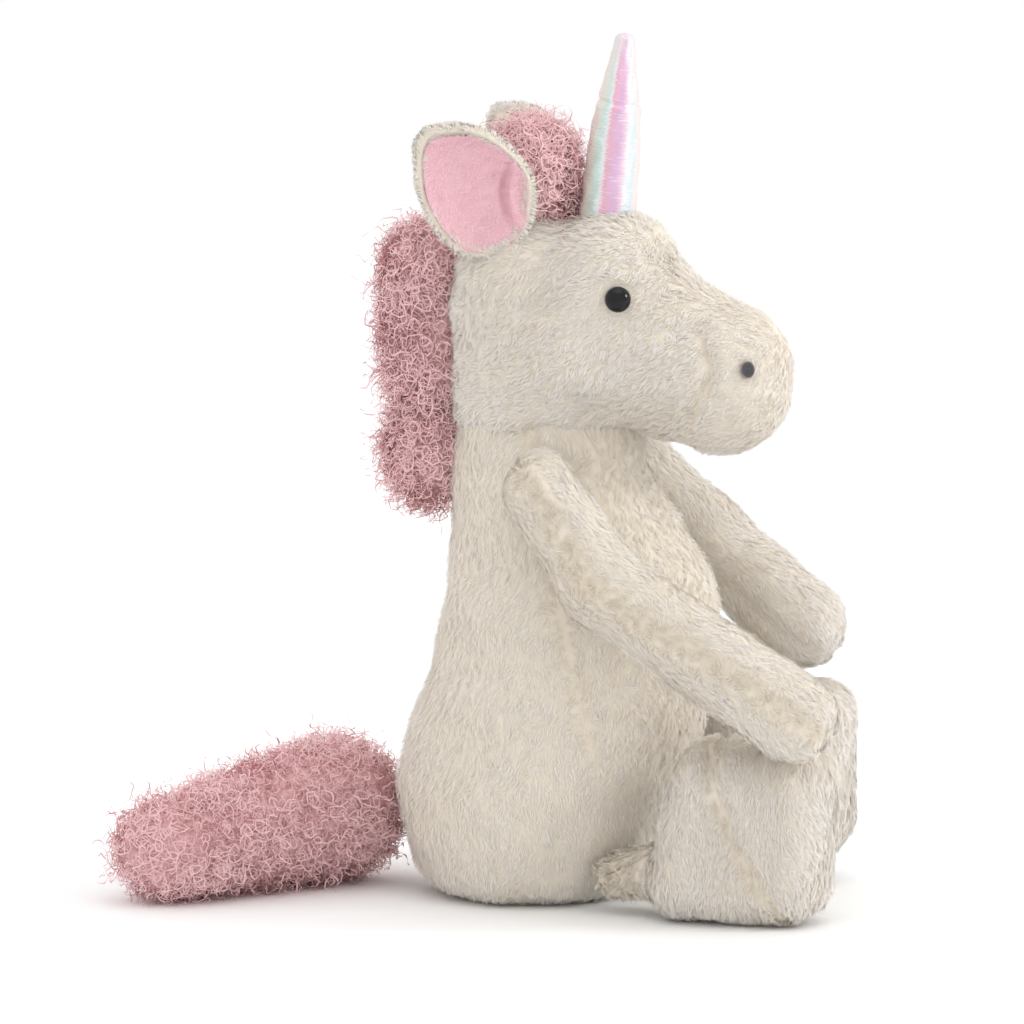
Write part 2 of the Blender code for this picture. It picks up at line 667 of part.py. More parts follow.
def build():
    clear_scene()
    white = material("cream_fur", (0.86, 0.82, 0.74), 0.95)
    head_white = material("cream_fur_head", (0.87, 0.83, 0.75), 0.95)
    limb_white = material("cream_fur_limbs", (0.85, 0.81, 0.73), 0.95)
    ear_white = material("cream_fur_ears", (0.88, 0.84, 0.77), 0.95)
    yarn = material("pink_curly_yarn", (0.84, 0.55, 0.56), 0.9)
    velour = material("pink_velour", (0.80, 0.44, 0.48), 0.85)
    shimmer = material("iridescent_foil_cloth", (0.80, 0.66, 0.78), 0.3, 0.4)
    black = material("black_plastic", (0.01, 0.01, 0.01), 0.08)
    clear = material("washer_plastic", (0.85, 0.85, 0.83), 0.4)
    thread = material("grey_thread", (0.08, 0.08, 0.08), 0.7)
    fibre = material("polyester_fibre", (0.90, 0.90, 0.88), 0.95)
    pellets = material("bean_pouch_cloth", (0.70, 0.68, 0.62), 0.9)

    make_torso(white, fibre, pellets)
    rows = [row[0] * SHOULDER_HEIGHT for row in TORSO_PROFILE] + [SHOULDER_HEIGHT, SHOULDER_HEIGHT + NOD_DROP]
    torso_cutter = loft("torso_cutter", [torso_ring(z, -GAP) for z in rows], None)
    envelope = head_skin("head_cutter", -GAP, None)
    ear_envelope = head_skin("ear_cutter", -EAR_GAP, None)
    back, front, stuffing = make_head(head_white, fibre)
    ears = {}
    for tag, side in (("right", 1), ("left", -1)):
        make_eye(tag, side, back, stuffing, black, clear)
        make_nostril(tag, side, envelope, thread)
        ears[tag] = make_ear(tag, side, ear_envelope, ear_white, velour)
    make_horn(envelope, shimmer, fibre)
    make_forelock(envelope, yarn)
    make_mane(envelope, torso_cutter, yarn)
    head_names = "head_shell muzzle_shell head_stuffing horn_cover horn_stuffing forelock mane_upper".split()
    for tag in ears:
        head_names += [f"eye_{tag}", f"eye_washer_{tag}", f"nostril_{tag}"]
    head_pivot = hang("pivot_head", Vector(NOD_AXIS), [bpy.data.objects[n] for n in head_names])
    for tag, side in (("right", 1), ("left", -1)):
        _, up, _, middle = ear_frame(side)
        hang(f"pivot_ear_{tag}", middle - up * (EAR_HALF_HEIGHT - 4 * MM), ears[tag], head_pivot)

    for tag, side, points, foot in (("right", 1, RIGHT_ARM, RIGHT_FOOT), ("left", -1, LEFT_ARM, LEFT_FOOT)):
        pivot, pieces = make_arm(tag, side, points, foot[2], limb_white, fibre)
        hang(f"pivot_arm_{tag}", pivot, pieces)
        pivot, pieces = make_leg(tag, side, foot, limb_white, fibre, pellets)
        hang(f"pivot_leg_{tag}", pivot, pieces)
    pivot, pieces = make_tail(yarn, fibre)
    hang("pivot_tail", pivot, pieces)


build()
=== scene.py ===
"""A sitting plush unicorn: fur, curly yarn, horn, ears, eyes and stitching round the CAD frame."""

import json
import math

import bpy
import numpy as np
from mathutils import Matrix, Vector


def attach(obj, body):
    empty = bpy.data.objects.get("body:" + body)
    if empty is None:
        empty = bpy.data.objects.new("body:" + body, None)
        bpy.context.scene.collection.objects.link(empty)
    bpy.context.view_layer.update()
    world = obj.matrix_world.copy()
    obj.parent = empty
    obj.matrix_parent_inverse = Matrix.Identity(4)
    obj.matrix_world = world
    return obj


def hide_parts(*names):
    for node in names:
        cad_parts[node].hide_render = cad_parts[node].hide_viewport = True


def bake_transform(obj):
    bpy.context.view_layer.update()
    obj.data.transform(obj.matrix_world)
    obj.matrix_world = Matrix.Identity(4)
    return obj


bl_info = {
    "name": "Plush Unicorn",
    "version": (1, 0, 0),
    "blender": (4, 5, 0),
    "location": "3D View > Sidebar > Plush",
    "description": "Builds the fur, yarn and fittings of a sitting plush unicorn",
    "category": "Object",
}

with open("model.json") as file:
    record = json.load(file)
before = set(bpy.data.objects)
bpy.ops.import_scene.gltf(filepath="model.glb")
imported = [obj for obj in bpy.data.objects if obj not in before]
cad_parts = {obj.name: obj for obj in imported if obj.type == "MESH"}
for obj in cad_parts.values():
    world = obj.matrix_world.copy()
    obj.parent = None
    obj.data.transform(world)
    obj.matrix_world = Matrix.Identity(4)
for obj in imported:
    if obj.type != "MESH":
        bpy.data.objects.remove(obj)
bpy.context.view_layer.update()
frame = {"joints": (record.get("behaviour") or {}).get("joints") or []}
MM = 0.001
HALVINGS = 34
FARTHEST = 200 * MM
# How far each fur skin lies inside its body, to leave room for the pile, and how high its lumps are
PILE_ROOM = 1.3 * MM
LUMPS = 0.5 * MM
PAIR = (("right", 1), ("left", -1))


def settings():
    return bpy.context.scene.plush_sizes


def colours():
    return bpy.context.scene.plush_colours


# ---------------------------------------------------------------- number fields


def unit(vectors):
    return vectors / np.maximum(np.linalg.norm(vectors, axis=-1, keepdims=True), 1e-12)


def waves(points, size, seed, count=7):
    """Soft noise from -1 to 1: the mean of sine waves in random directions.

    value = sum of sin(k . p / size + phase) / sqrt(count / 2), clipped.
    """
    rng = np.random.default_rng(seed)
    directions = unit(rng.normal(size=(count, 3))) * rng.uniform(0.6, 1.5, (count, 1))
    phases = rng.uniform(0, 2 * np.pi, count)
    total = np.sin(points @ directions.T * (2 * np.pi / size) * 0.5 + phases).sum(axis=-1)
    return np.clip(total / math.sqrt(count / 2) * 0.7, -1, 1)


def egg(points, centre, radii):
    """About the distance to an ellipsoid: k0 (k0 - 1) / k1, with k0 = |p / r| and k1 = |p / r^2|."""
    away = points - np.array(centre)
    near = np.linalg.norm(away / np.array(radii), axis=-1)
    steep = np.linalg.norm(away / np.array(radii) ** 2, axis=-1)
    return near * (near - 1) / np.maximum(steep, 1e-9)


def round_cone(points, start, end, start_radius, end_radius):
    """Distance to a round bar whose radius changes evenly from start to end."""
    start, end = np.array(start), np.array(end)
    along = np.clip((points - start) @ (end - start) / np.dot(end - start, end - start), 0, 1)
    nearest = start + along[..., None] * (end - start)
    return np.linalg.norm(points - nearest, axis=-1) - (start_radius + along * (end_radius - start_radius))


def round_box(points, centre, half, rounding):
    """Distance to a box with rounded edges."""
    away = np.abs(points - np.array(centre)) - (np.array(half) - rounding)
    outside = np.linalg.norm(np.maximum(away, 0), axis=-1)
    return outside + np.minimum(away.max(axis=-1), 0) - rounding


def melt(first, second, width):
    """Joins two distances with a soft crease of about this width."""
    share = np.clip(0.5 + 0.5 * (second - first) / width, 0, 1)
    return second + (first - second) * share - width * share * (1 - share)


def trough(distance, width):
    """1 in the middle of a seam, falling to 0 at about its width: exp(-(d / w)^2)."""
    return np.exp(-((distance / width) ** 2))


# ------------------------------------------------------------------- surfaces


def surface(field, centre, direction):
    """Where rays from the centre leave a field, found by halving the distance again and again."""
    near = np.zeros(direction.shape[:-1])
    far = np.full(direction.shape[:-1], FARTHEST)
    for _ in range(HALVINGS):
        halfway = (near + far) / 2
        inside = field(centre + halfway[..., None] * direction) < 0
        near = np.where(inside, halfway, near)
        far = np.where(inside, far, halfway)
    return centre + near[..., None] * direction


def turned_to(pole):
    """The rotation that takes +Z to a pole."""
    return np.array(Vector(pole).to_track_quat("Z", "Y").to_matrix())


def grid_triangles(rows, sides):
    """Triangles of a grid that closes on itself sideways, with a pole point at each end."""
    i, j = np.meshgrid(np.arange(rows - 1), np.arange(sides), indexing="ij")
    i, j = i.ravel(), j.ravel()
    k = (j + 1) % sides
    a, b, c, d = i * sides + j, i * sides + k, (i + 1) * sides + k, (i + 1) * sides + j
    around = np.arange(sides)
    following = (around + 1) % sides
    first, last = rows * sides, rows * sides + 1
    base = (rows - 1) * sides
    start = np.stack((following, around, np.full(sides, first)), axis=1)
    end = np.stack((base + around, base + following, np.full(sides, last)), axis=1)
    return np.concatenate((np.stack((a, b, c), 1), np.stack((a, c, d), 1), start, end))


def facing_out(points, triangles, centre):
    """Turns every triangle round if the closed surface's signed volume is negative."""
    corner = points[triangles] - centre
    volume = np.einsum("ij,ij->i", corner[:, 0], np.cross(corner[:, 1], corner[:, 2])).sum()
    return triangles if volume > 0 else triangles[:, ::-1]


def ball_skin(field, centre, pole, rows, sides, crowd=1.0, stretch=1.0):
    """A field's closed skin, with rings round the pole at angles pi * u^crowd.

    A stretch over 1 spreads the rings evenly along a form that is long towards its pole.
    """
    centre = np.array(centre, float)
    turn = turned_to(pole)
    u = np.linspace(0, 1, rows + 2)[1:-1]
    polar = np.pi * u**crowd
    polar = np.arctan2(np.sin(polar), stretch * np.cos(polar))[:, None]
    around = np.linspace(0, 2 * np.pi, sides, endpoint=False)[None, :]
    x, y = np.sin(polar) * np.cos(around), np.sin(polar) * np.sin(around)
    rays = np.stack((x, y, np.cos(polar) + 0 * around), -1) @ turn.T
    rings = surface(field, centre, rays).reshape(-1, 3)
    poles = surface(field, centre, np.stack((turn[:, 2], -turn[:, 2])))
    points = np.concatenate((rings, poles))
    return points, facing_out(points, grid_triangles(rows, sides), centre)


def ring_skin(rings):
    """A closed skin through rings of points, its ends closed to their middles."""
    rows, sides = rings.shape[:2]
    points = np.concatenate((rings.reshape(-1, 3), rings[0].mean(0)[None], rings[-1].mean(0)[None]))
    return points, facing_out(points, grid_triangles(rows, sides), points.mean(0))


def point_normals(points, triangles):
    """Each point's normal: the sum of its triangles' cross products."""
    corner = points[triangles]
    cross = np.cross(corner[:, 1] - corner[:, 0], corner[:, 2] - corner[:, 0])
    total = np.zeros_like(points)
    for axis in range(3):
        for k in range(3):
            total[:, axis] += np.bincount(triangles[:, k], cross[:, axis], len(points))
    return unit(total)


def make_mesh(name, points, polygons, uvs, finish, smooth=True, normals=None):
    """Polygons are arrays of triangles or quads; uvs has one row for each corner."""
    mesh = bpy.data.meshes.new(name)
    mesh.vertices.add(len(points))
    mesh.vertices.foreach_set("co", np.asarray(points, np.float32).ravel())
    flat = np.concatenate([p.ravel() for p in polygons])
    sizes = np.concatenate([np.full(len(p), p.shape[1]) for p in polygons])
    mesh.loops.add(len(flat))
    mesh.loops.foreach_set("vertex_index", flat.astype(np.int32))
    mesh.polygons.add(len(sizes))
    mesh.polygons.foreach_set("loop_start", (np.cumsum(sizes) - sizes).astype(np.int32))
    mesh.update(calc_edges=True)
    if uvs is not None:
        layer = mesh.uv_layers.new(name="OFBake")
        layer.data.foreach_set("uv", np.asarray(uvs, np.float32).ravel())
    if smooth:
        mesh.shade_smooth()
    if normals is not None:
        mesh.normals_split_custom_set_from_vertices(normals)
    mesh.materials.append(finish)
    piece = bpy.data.objects.new(name, mesh)
    bpy.context.collection.objects.link(piece)
    return piece


def settled(skin, depth, lumps, size, seed):
    """A skin moved in by a depth and out by soft lumps, kept on or over the floor."""
    points, triangles = skin
    rise = lumps * waves(points, size, seed) - depth
    moved = points + point_normals(points, triangles) * rise[:, None]
    moved[:, 2] = np.maximum(moved[:, 2], 0)
    return moved, triangles


# ----------------------------------------------------------------------- fur


def scatter(points, triangles, count, rng, weight=None):
    """Random places on a skin, even by area: their triangles and corner shares."""
    corner = points[triangles]
    area = np.linalg.norm(np.cross(corner[:, 1] - corner[:, 0], corner[:, 2] - corner[:, 0]), axis=1)
    if weight is not None:
        area = area * weight
    steps = (np.arange(count) + rng.random(count)) / count
    chosen = np.searchsorted(np.cumsum(area) / area.sum(), steps).clip(0, len(triangles) - 1)
    a, b = np.sqrt(rng.random(count)), rng.random(count)
    return chosen, np.stack((1 - a, a * (1 - b), a * b), axis=1)


def spread(values, triangles, chosen, shares):
    """Point values carried to scattered places."""
    picked = values[triangles[chosen]]
    return np.einsum("ij,ij...->i...", shares, picked)


def tufts(roots, size, seed):
    """The tuft each root belongs to: cells of a grid that soft noise has bent."""
    bend = np.stack([waves(roots, size * 3.1, seed + k) for k in range(3)], axis=1)
    cell = np.floor((roots + bend * size * 0.75) / size).astype(np.int64)
    key = (cell[:, 0] * 92821 + cell[:, 1]) * 68917 + cell[:, 2]
    _, index = np.unique(key, return_inverse=True)
    total = np.bincount(index)
    middle = np.stack([np.bincount(index, roots[:, k]) / total for k in range(3)], axis=1)
    return index, middle


def fur_mesh(
    name, skin, grain, count, seed, length, finish, lift=0.32, tuft=2.6, pull=0.35, width=0.21, bare=None
):
    """A skin and its fibres as one mesh.

    A fibre is a bent kite: root, two corners halfway and a tip. Its first half leaves
    the skin at the lift angle and its second half at a third of it. It is drawn
    towards the tip of its tuft, and its shading lies between the skin's normal and its
    own. The map's u is a shade, and its v runs from root to tip. The grain gives each
    root its direction, length, shade and ruffle. The tuft and the width are in mm.
    """
    points, triangles = skin
    rng = np.random.default_rng(seed)
    skin_normals = point_normals(points, triangles)
    weight = None if bare is None else 1 - bare(points[triangles].mean(axis=1))
    chosen, shares = scatter(points, triangles, count, rng, weight)
    root = spread(points, triangles, chosen, shares)
    normal = unit(spread(skin_normals, triangles, chosen, shares))
    lie, scale, tone, ruffle = grain(root)
    lie = unit(lie - normal * np.sum(lie * normal, axis=1, keepdims=True))
    across = np.cross(normal, lie)
    index, centre = tufts(root, tuft * MM, seed + 11)
    own = rng.normal(size=(index.max() + 1, 3))
    turn = 0.38 * waves(root, 18 * MM, seed + 1) + (0.2 + ruffle) * own[index, 0] + rng.normal(0, 0.18, count)
    lie = lie * np.cos(turn)[:, None] + across * np.sin(turn)[:, None]
    longer = (1 + 0.18 * own[index, 1] + rng.normal(0, 0.14, count)).clip(0.4, 1.6)
    reach = (length * scale * longer)[:, None]
    steeper = (1 + 0.3 * own[index, 2] + rng.normal(0, 0.25, count)).clip(0.15, 2.4)
    rise = (lift * (1 + ruffle) * steeper)[:, None]
    halfway = root + reach / 2 * (lie * np.cos(rise) + normal * np.sin(rise))
    tip = halfway + reach / 2 * (lie * np.cos(rise * 0.3) + normal * np.sin(rise * 0.3))
    gather = centre[index] + (lie * 0.8 + normal * 0.25) * reach
    tip = tip + (gather - tip) * pull
    halfway = halfway + (gather - halfway) * pull * 0.3
    side = unit(np.cross(normal, tip - root)) * (width * MM / 2 * rng.uniform(0.7, 1.3, (count, 1)))
    kites = np.stack((root - normal * 0.3 * MM, halfway - side, halfway + side, tip), axis=1)
    kites[..., 2] = np.maximum(kites[..., 2], 0.2 * MM)
    facing = unit(np.cross(tip - root, side))
    soft = unit(0.5 * normal + 0.7 * facing + 0.08 * own[index] + 0.05 * rng.normal(size=(count, 3)))
    bend = unit(side) * 0.15
    shading = np.stack((soft, unit(soft - bend), unit(soft + bend), soft), axis=1)
    base = len(points) + 4 * np.arange(count)[:, None]
    shade = (tone + 0.07 * own[index, 0] + rng.normal(0, 0.08, count)).clip(0.02, 0.98)[:, None]
    lower, upper = base + np.array((0, 1, 2)), base + np.array((2, 1, 3))
    uvs = corner_map(
        len(triangles),
        (shade + 0.004 * np.array((0, -1, 1)), np.array((0.10, 0.5, 0.5)) + 0 * shade),
        (shade + 0.004 * np.array((1, -1, 0)), np.array((0.5, 0.5, 0.97)) + 0 * shade),
    )
    every = np.concatenate((points, kites.reshape(-1, 3)))
    normals = np.concatenate((skin_normals, shading.reshape(-1, 3)))
    return make_mesh(name, every, (triangles, lower, upper), uvs, finish, True, normals)


def corner_map(count, *parts):
    """The corner map of a skin's triangles, which lie in a strip near v = 0, and of its strands."""
    skin_u = 0.5 + 0.04 * np.array((-1, 1, 0))[None, :] + np.zeros((count, 1))
    skin_v = 0.02 + 0.02 * np.array((0, 0, 1))[None, :] + np.zeros((count, 1))
    pairs = ((skin_u, skin_v), *parts)
    return np.concatenate([np.stack((u.ravel(), v.ravel()), 1) for u, v in pairs])


# --------------------------------------------------------------------- yarn


def yarn_mesh(name, skin, count, seed, reach, turns, droop=0.0, lean=(0, 0, 0), stations=13):
    """A core and its curly strands as one mesh of thin bands.

    axis(t) = root + heading * reach * t - up * droop * t^2
    strand(t) = axis(t) + radius * sqrt(t) * (cos(w t + p) e1 + sin(w t + p) e2)
    """
    points, triangles = skin
    rng = np.random.default_rng(seed)
    chosen, shares = scatter(points, triangles, count, rng)
    root = spread(points, triangles, chosen, shares)
    normal = unit(spread(point_normals(points, triangles), triangles, chosen, shares))
    drift = np.stack([waves(root, 16 * MM, seed + k) for k in range(3)], axis=1)
    heading = unit(normal + rng.normal(0, 0.38, (count, 3)) + 0.5 * drift + np.array(lean))
    e1 = unit(np.cross(heading, rng.normal(size=(count, 3))))
    e2 = np.cross(heading, e1)

    def each(values):
        return values[:, None, None]

    t = np.linspace(0, 1, stations)[None, :, None]
    stray = rng.random(count) < 0.1
    length = each(reach * rng.uniform(0.35, 1.1, count) * np.where(stray, 1.7, 1))
    radius = each(settings().curl * rng.uniform(0.5, 1.4, count))
    spin = each(2 * np.pi * turns * rng.uniform(0.6, 1.4, count) * rng.choice((-1, 1), count))
    start = each(rng.uniform(0, 2 * np.pi, count))
    axis = root[:, None] + heading[:, None] * length * t
    axis[..., 2:] -= droop * t**2 * each(rng.uniform(0.4, 1.4, count))
    wobble = np.sqrt(t) * radius * (1 + 0.3 * np.sin(2.3 * spin * t + start))
    out = np.cos(spin * t + start) * e1[:, None] + np.sin(spin * t + start) * e2[:, None]
    path = axis + wobble * out
    path[..., 2] = np.maximum(path[..., 2], 0.5 * MM)
    tangent = unit(np.gradient(path, axis=1))
    thick = settings().thread * (1 - 0.5 * t**3) * each(rng.uniform(0.6, 1.35, count))
    side = unit(np.cross(heading[:, None], tangent) + 1e-4 * e1[:, None]) * thick
    bands = np.stack((path + side, path - side), axis=2)
    strand = 2 * stations * np.arange(count)[:, None, None]
    base = len(points) + strand + 2 * np.arange(stations - 1)[None, :, None]
    quads = (base + np.array((0, 1, 3, 2))).reshape(-1, 4)
    shade = each(rng.random(count).clip(0.02, 0.98)) + np.zeros((1, stations - 1, 4))
    v = np.linspace(0.1, 0.97, stations)
    along = np.stack((v[:-1], v[:-1], v[1:], v[1:]), -1)[None] + 0 * shade
    uvs = corner_map(len(triangles), (shade + 0.004 * np.array((-1, 1, 1, -1)), along))
    every = np.concatenate((points, bands.reshape(-1, 3)))
    return make_mesh(name, every, (triangles, quads), uvs, pink_yarn())


# ----------------------------------------------------------------- materials


class Number:
    """A number socket that Python's operators build Math nodes on."""

    def __init__(self, finish, socket):
        self.finish = finish
        self.socket = socket

    def math(self, operation, *values):
        plain = [v.socket if isinstance(v, Number) else v for v in values]
        made = self.finish.node("ShaderNodeMath", {"operation": operation}, dict(enumerate(plain)))
        return Number(self.finish, made.outputs[0])

    def __add__(self, other):
        return self.math("ADD", self, other)

    def __sub__(self, other):
        return self.math("SUBTRACT", self, other)

    def __rsub__(self, other):
        return self.math("SUBTRACT", other, self)

    def __mul__(self, other):
        return self.math("MULTIPLY", self, other)

    __radd__ = __add__
    __rmul__ = __mul__


class Finish:
    """A Principled material whose nodes are added one call at a time."""

    def __init__(self, name, roughness, **plain):
        self.material = bpy.data.materials.new(name)
        self.material.use_nodes = True
        self.tree = self.material.node_tree
        self.shader = self.tree.nodes["Principled BSDF"]
        self.shader.inputs["Roughness"].default_value = roughness
        for socket, value in plain.items():
            self.shader.inputs[socket.replace("_", " ")].default_value = value

    def node(self, kind, before=None, sockets=None):
        made = self.tree.nodes.new(kind)
        for key, value in (before or {}).items():
            if key == "stops":
                self.set_stops(made.color_ramp, value)
            else:
                setattr(made, key, value)
        for key, value in (sockets or {}).items():
            self.feed(made.inputs[key], value)
        return made

    def set_stops(self, ramp, stops):
        while len(ramp.elements) < len(stops):
            ramp.elements.new(0.5)
        for element, (place, colour) in zip(ramp.elements, stops):
            element.position = place
            element.color = (*colour, 1)

    def feed(self, socket, value):
        value = value.socket if isinstance(value, Number) else value
        if isinstance(value, bpy.types.NodeSocket):
            self.tree.links.new(value, socket)
        else:
            socket.default_value = value

    def noise(self, scale, detail, where=None):
        """A noise from 0 to 1, on the given coordinates or the piece's own."""
        sockets = {"Scale": scale, "Detail": detail}
        if where is not None:
            sockets["Vector"] = where
        return Number(self, self.node("ShaderNodeTexNoise", None, sockets).outputs[0])

    def paint(self, socket, value):
        self.feed(self.shader.inputs[socket], value)

    def map_parts(self, name):
        where = self.node("ShaderNodeUVMap", {"uv_map": name})
        parts = self.node("ShaderNodeSeparateXYZ", None, {0: where.outputs[0]})
        return Number(self, parts.outputs[0]), Number(self, parts.outputs[1])

    def mix(self, share, first, second, blend="MIX"):
        kind = {"data_type": "RGBA", "blend_type": blend}
        return self.node("ShaderNodeMix", kind, {0: share, 6: first, 7: second}).outputs[2]


def lighter(colour, factor):
    return tuple(min(c * factor, 1.0) for c in colour)


def pile_finish(name, root, body, tip, shade_range, roughness=0.85, sheen=0.3, glow=0.0):
    """Fibres that go from a root colour to a tip colour, each a little lighter or warmer.

    A small glow stands for the light that passes through thin pale yarn.
    """
    made = bpy.data.materials.get(name)
    if made is not None:
        return made
    finish = Finish(
        name,
        roughness,
        Sheen_Weight=sheen,
        Sheen_Roughness=0.5,
        Specular_IOR_Level=0.2,
        Emission_Color=(*body, 1),
        Emission_Strength=glow,
    )
    shade, along = finish.map_parts("OFBake")
    stops = [(0.0, root), (0.09, root), (0.45, body), (1.0, tip)]
    ramp = finish.node("ShaderNodeValToRGB", {"stops": stops}, {0: along})
    low, high = shade_range
    tone = finish.node("ShaderNodeValToRGB", {"stops": [(0.0, low), (1.0, high)]}, {0: shade})
    finish.paint("Base Color", finish.mix(1.0, ramp.outputs[0], tone.outputs[0], "MULTIPLY"))
    return finish.material


def cream_fur():
    c = tuple(colours().fur)
    root = (c[0] * 0.97, c[1] * 0.955, c[2] * 0.92)
    # The warm dark end of the shade ramp is random tone, and also painted shade in seams and creases.
    return pile_finish("cream_fur_pile", root, c, lighter(c, 1.02), ((0.84, 0.76, 0.62), (1.0, 1.0, 1.0)))


def pink_yarn():
    c = tuple(colours().yarn)
    root = (c[0], c[1] * 0.87, c[2] * 0.88)
    tip = (1.0, c[1] * 1.03, c[2] * 1.03)
    return pile_finish("pink_curly_yarn", root, c, tip, ((1.0, 0.92, 0.93), (1.0, 1.0, 1.0)), 0.6, 0.4, 0.13)


# -------------------------------------------------------------- plush shapes

# Height, front, back and half width, as shares of the next four sizes
TORSO_PROFILE = (
    (0.0, 0.42, 0.66, 0.65),
    (0.02, 0.51, 0.78, 0.79),
    (0.066, 0.61, 0.88, 0.895),
    (0.146, 0.69, 0.955, 0.97),
    (0.265, 0.79, 1.0, 1.0),
    (0.40, 0.89, 0.92, 0.98),
    (0.53, 0.97, 0.78, 0.92),
    (0.695, 0.975, 0.69, 0.82),
    (0.78, 0.895, 0.67, 0.76),
    (0.86, 0.765, 0.66, 0.715),
    (0.935, 0.637, 0.655, 0.683),
)
SHOULDER_HEIGHT = 151 * MM
BELLY_FRONT = 62 * MM
SEAT_BACK = 54.5 * MM
TORSO_HALF_WIDTH = 52 * MM
NECK_FRONT = 33.8 * MM
NECK_BACK = 35.3 * MM
NECK_HALF_WIDTH = 31.5 * MM
NECK_TOP = 176 * MM
NOD_AXIS = np.array((0, 0, 130 * MM))
HEAD_MIDDLE = NOD_AXIS + np.array((0, -8 * MM, 75 * MM))
CROWN_TOP = 112 * MM
HEAD_HALF_WIDTH = 31 * MM
MUZZLE_HALF_WIDTH = 25 * MM
MUZZLE_FRONT = 88 * MM
HEAD_BLEND = 8 * MM


def torso_levels():
    """Front, back and half width at heights up the torso, smoothed by a rolling mean."""
    rows = np.array(TORSO_PROFILE)
    height = np.append(rows[:, 0] * SHOULDER_HEIGHT, (SHOULDER_HEIGHT, 172 * MM, 190 * MM))
    front = np.append(rows[:, 1] * BELLY_FRONT, NECK_FRONT * np.array((1.03, 1, 1)))
    back = np.append(rows[:, 2] * SEAT_BACK, NECK_BACK * np.ones(3))
    wide = np.append(rows[:, 3] * TORSO_HALF_WIDTH, NECK_HALF_WIDTH * np.array((1.01, 1, 1)))
    fine = np.linspace(0, 190 * MM, 381)
    kernel = np.hanning(25) / np.hanning(25).sum()
    found = [fine]
    for values in (front, back, wide):
        v = np.interp(fine, height, values)
        padded = np.concatenate((2 * v[0] - v[12:0:-1], v, np.full(12, v[-1])))
        smooth = np.convolve(padded, kernel, "valid")
        share = np.clip(fine / (14 * MM), 0, 1)
        found.append(v * (1 - share) + smooth * share)
    return found


def torso_skin(rows, sides):
    """Rings (mid + scale * half * cos/sin) out across the flat patch, then up the profile."""
    fine, front, back, wide = torso_levels()
    patch = np.linspace(0.05, 1, 8)
    up = NECK_TOP * np.linspace(0, 1, rows) ** 1.15
    height = np.concatenate((np.zeros(7), up, [NECK_TOP + 1 * MM] * 3))
    scale = np.concatenate((patch[:-1], np.ones(rows), (0.9, 0.5, 0.1)))
    f, b, w = (np.interp(height, fine, v) for v in (front, back, wide))
    angle = np.linspace(0, 2 * np.pi, sides, endpoint=False)
    x = (scale * w)[:, None] * np.cos(angle)
    y = ((b - f) / 2)[:, None] + (scale * (f + b) / 2)[:, None] * np.sin(angle)
    z = height[:, None] + 0 * x
    return ring_skin(np.stack((x, y, z), -1))


def head_field(points):
    """Skull, brow, bridge, muzzle and neck melted together; the same lumps as the CAD head."""
    points = points - NOD_AXIS
    top = CROWN_TOP
    crown = egg(points, (0, 8 * MM, top - 31 * MM), (HEAD_HALF_WIDTH, NECK_BACK - 8 * MM, 31 * MM))
    brow = egg(points, (0, -23 * MM, top - 30 * MM), (HEAD_HALF_WIDTH - 0.5 * MM, 25 * MM, 29.5 * MM))
    cheek = egg(points, (0, -16 * MM, top - 52 * MM), (HEAD_HALF_WIDTH + 1.5 * MM, 32 * MM, 24.5 * MM))
    bridge_width = (HEAD_HALF_WIDTH + MUZZLE_HALF_WIDTH) / 2
    bridge = egg(points, (0, -41 * MM, top - 51 * MM), (bridge_width, 27 * MM, 30.5 * MM))
    muzzle_radii = (MUZZLE_HALF_WIDTH, 25 * MM, 27.8 * MM)
    muzzle = egg(points, (0, 25 * MM - MUZZLE_FRONT, top - 59 * MM), muzzle_radii)
    middle = (NECK_BACK - NECK_FRONT) / 2
    half_depth = (NECK_BACK + NECK_FRONT) / 2
    tuck = 3 * MM * np.clip((37 * MM - points[..., 2]) / (4 * MM), 0, 1)
    across = np.hypot(points[..., 0] / NECK_HALF_WIDTH, (points[..., 1] - middle) / half_depth)
    column = (across - 1) * NECK_HALF_WIDTH + tuck
    neck = np.maximum(column, np.abs(points[..., 2] - 54 * MM) - 22 * MM)
    shape = melt(melt(crown, brow, HEAD_BLEND), melt(cheek, bridge, HEAD_BLEND), HEAD_BLEND)
    return melt(melt(shape, muzzle, HEAD_BLEND), neck, HEAD_BLEND / 2)


def head_spot(aim):
    """The point and outward direction of the head's surface towards an aim above the nodding axis."""
    spot = surface(head_field, HEAD_MIDDLE, unit(NOD_AXIS + np.array(aim) - HEAD_MIDDLE)[None])[0]
    step = 0.5 * MM
    slope = np.array([head_field(spot + step * e) - head_field(spot - step * e) for e in np.eye(3)])
    return spot, unit(slope)


def muzzle_seam(points):
    """Distance ahead of the sewn seam round the muzzle, which bows forward at the side."""
    level = (points[..., 2] - 189 * MM) / (15 * MM)
    line = -57 * MM - 8 * MM * np.exp(-(level**2))
    return line - points[..., 1]


def jaw_crease(points):
    """Height over the crease where the jaw meets the throat."""
    return points[..., 2] - 167 * MM + 9 * MM * np.clip((-points[..., 1] - 4 * MM) / (32 * MM), 0, 1.3)


def jaw_strength(points):
    """1 under the cheek, fading towards the back of the neck and the chin."""
    ahead = -points[..., 1]
    return np.clip((ahead + 4 * MM) / (12 * MM), 0, 1) * np.clip((44 * MM - ahead) / (8 * MM), 0, 1)


def seam_strength(points):
    """1 along the muzzle's sides, fading to 0 over the nose and under the jaw."""
    level = np.clip(1.25 - np.abs(points[..., 2] - 187 * MM) / (17 * MM), 0, 1)
    return level * np.clip(np.abs(points[..., 0]) / (9 * MM) - 1, 0, 1)


def pinch(field, seam, depth, width, strength=None):
    """A field with a furrow along a seam."""

    def pinched(points):
        amount = 1 if strength is None else strength(points)
        return field(points) + depth * amount * trough(seam(points), width)

    return pinched


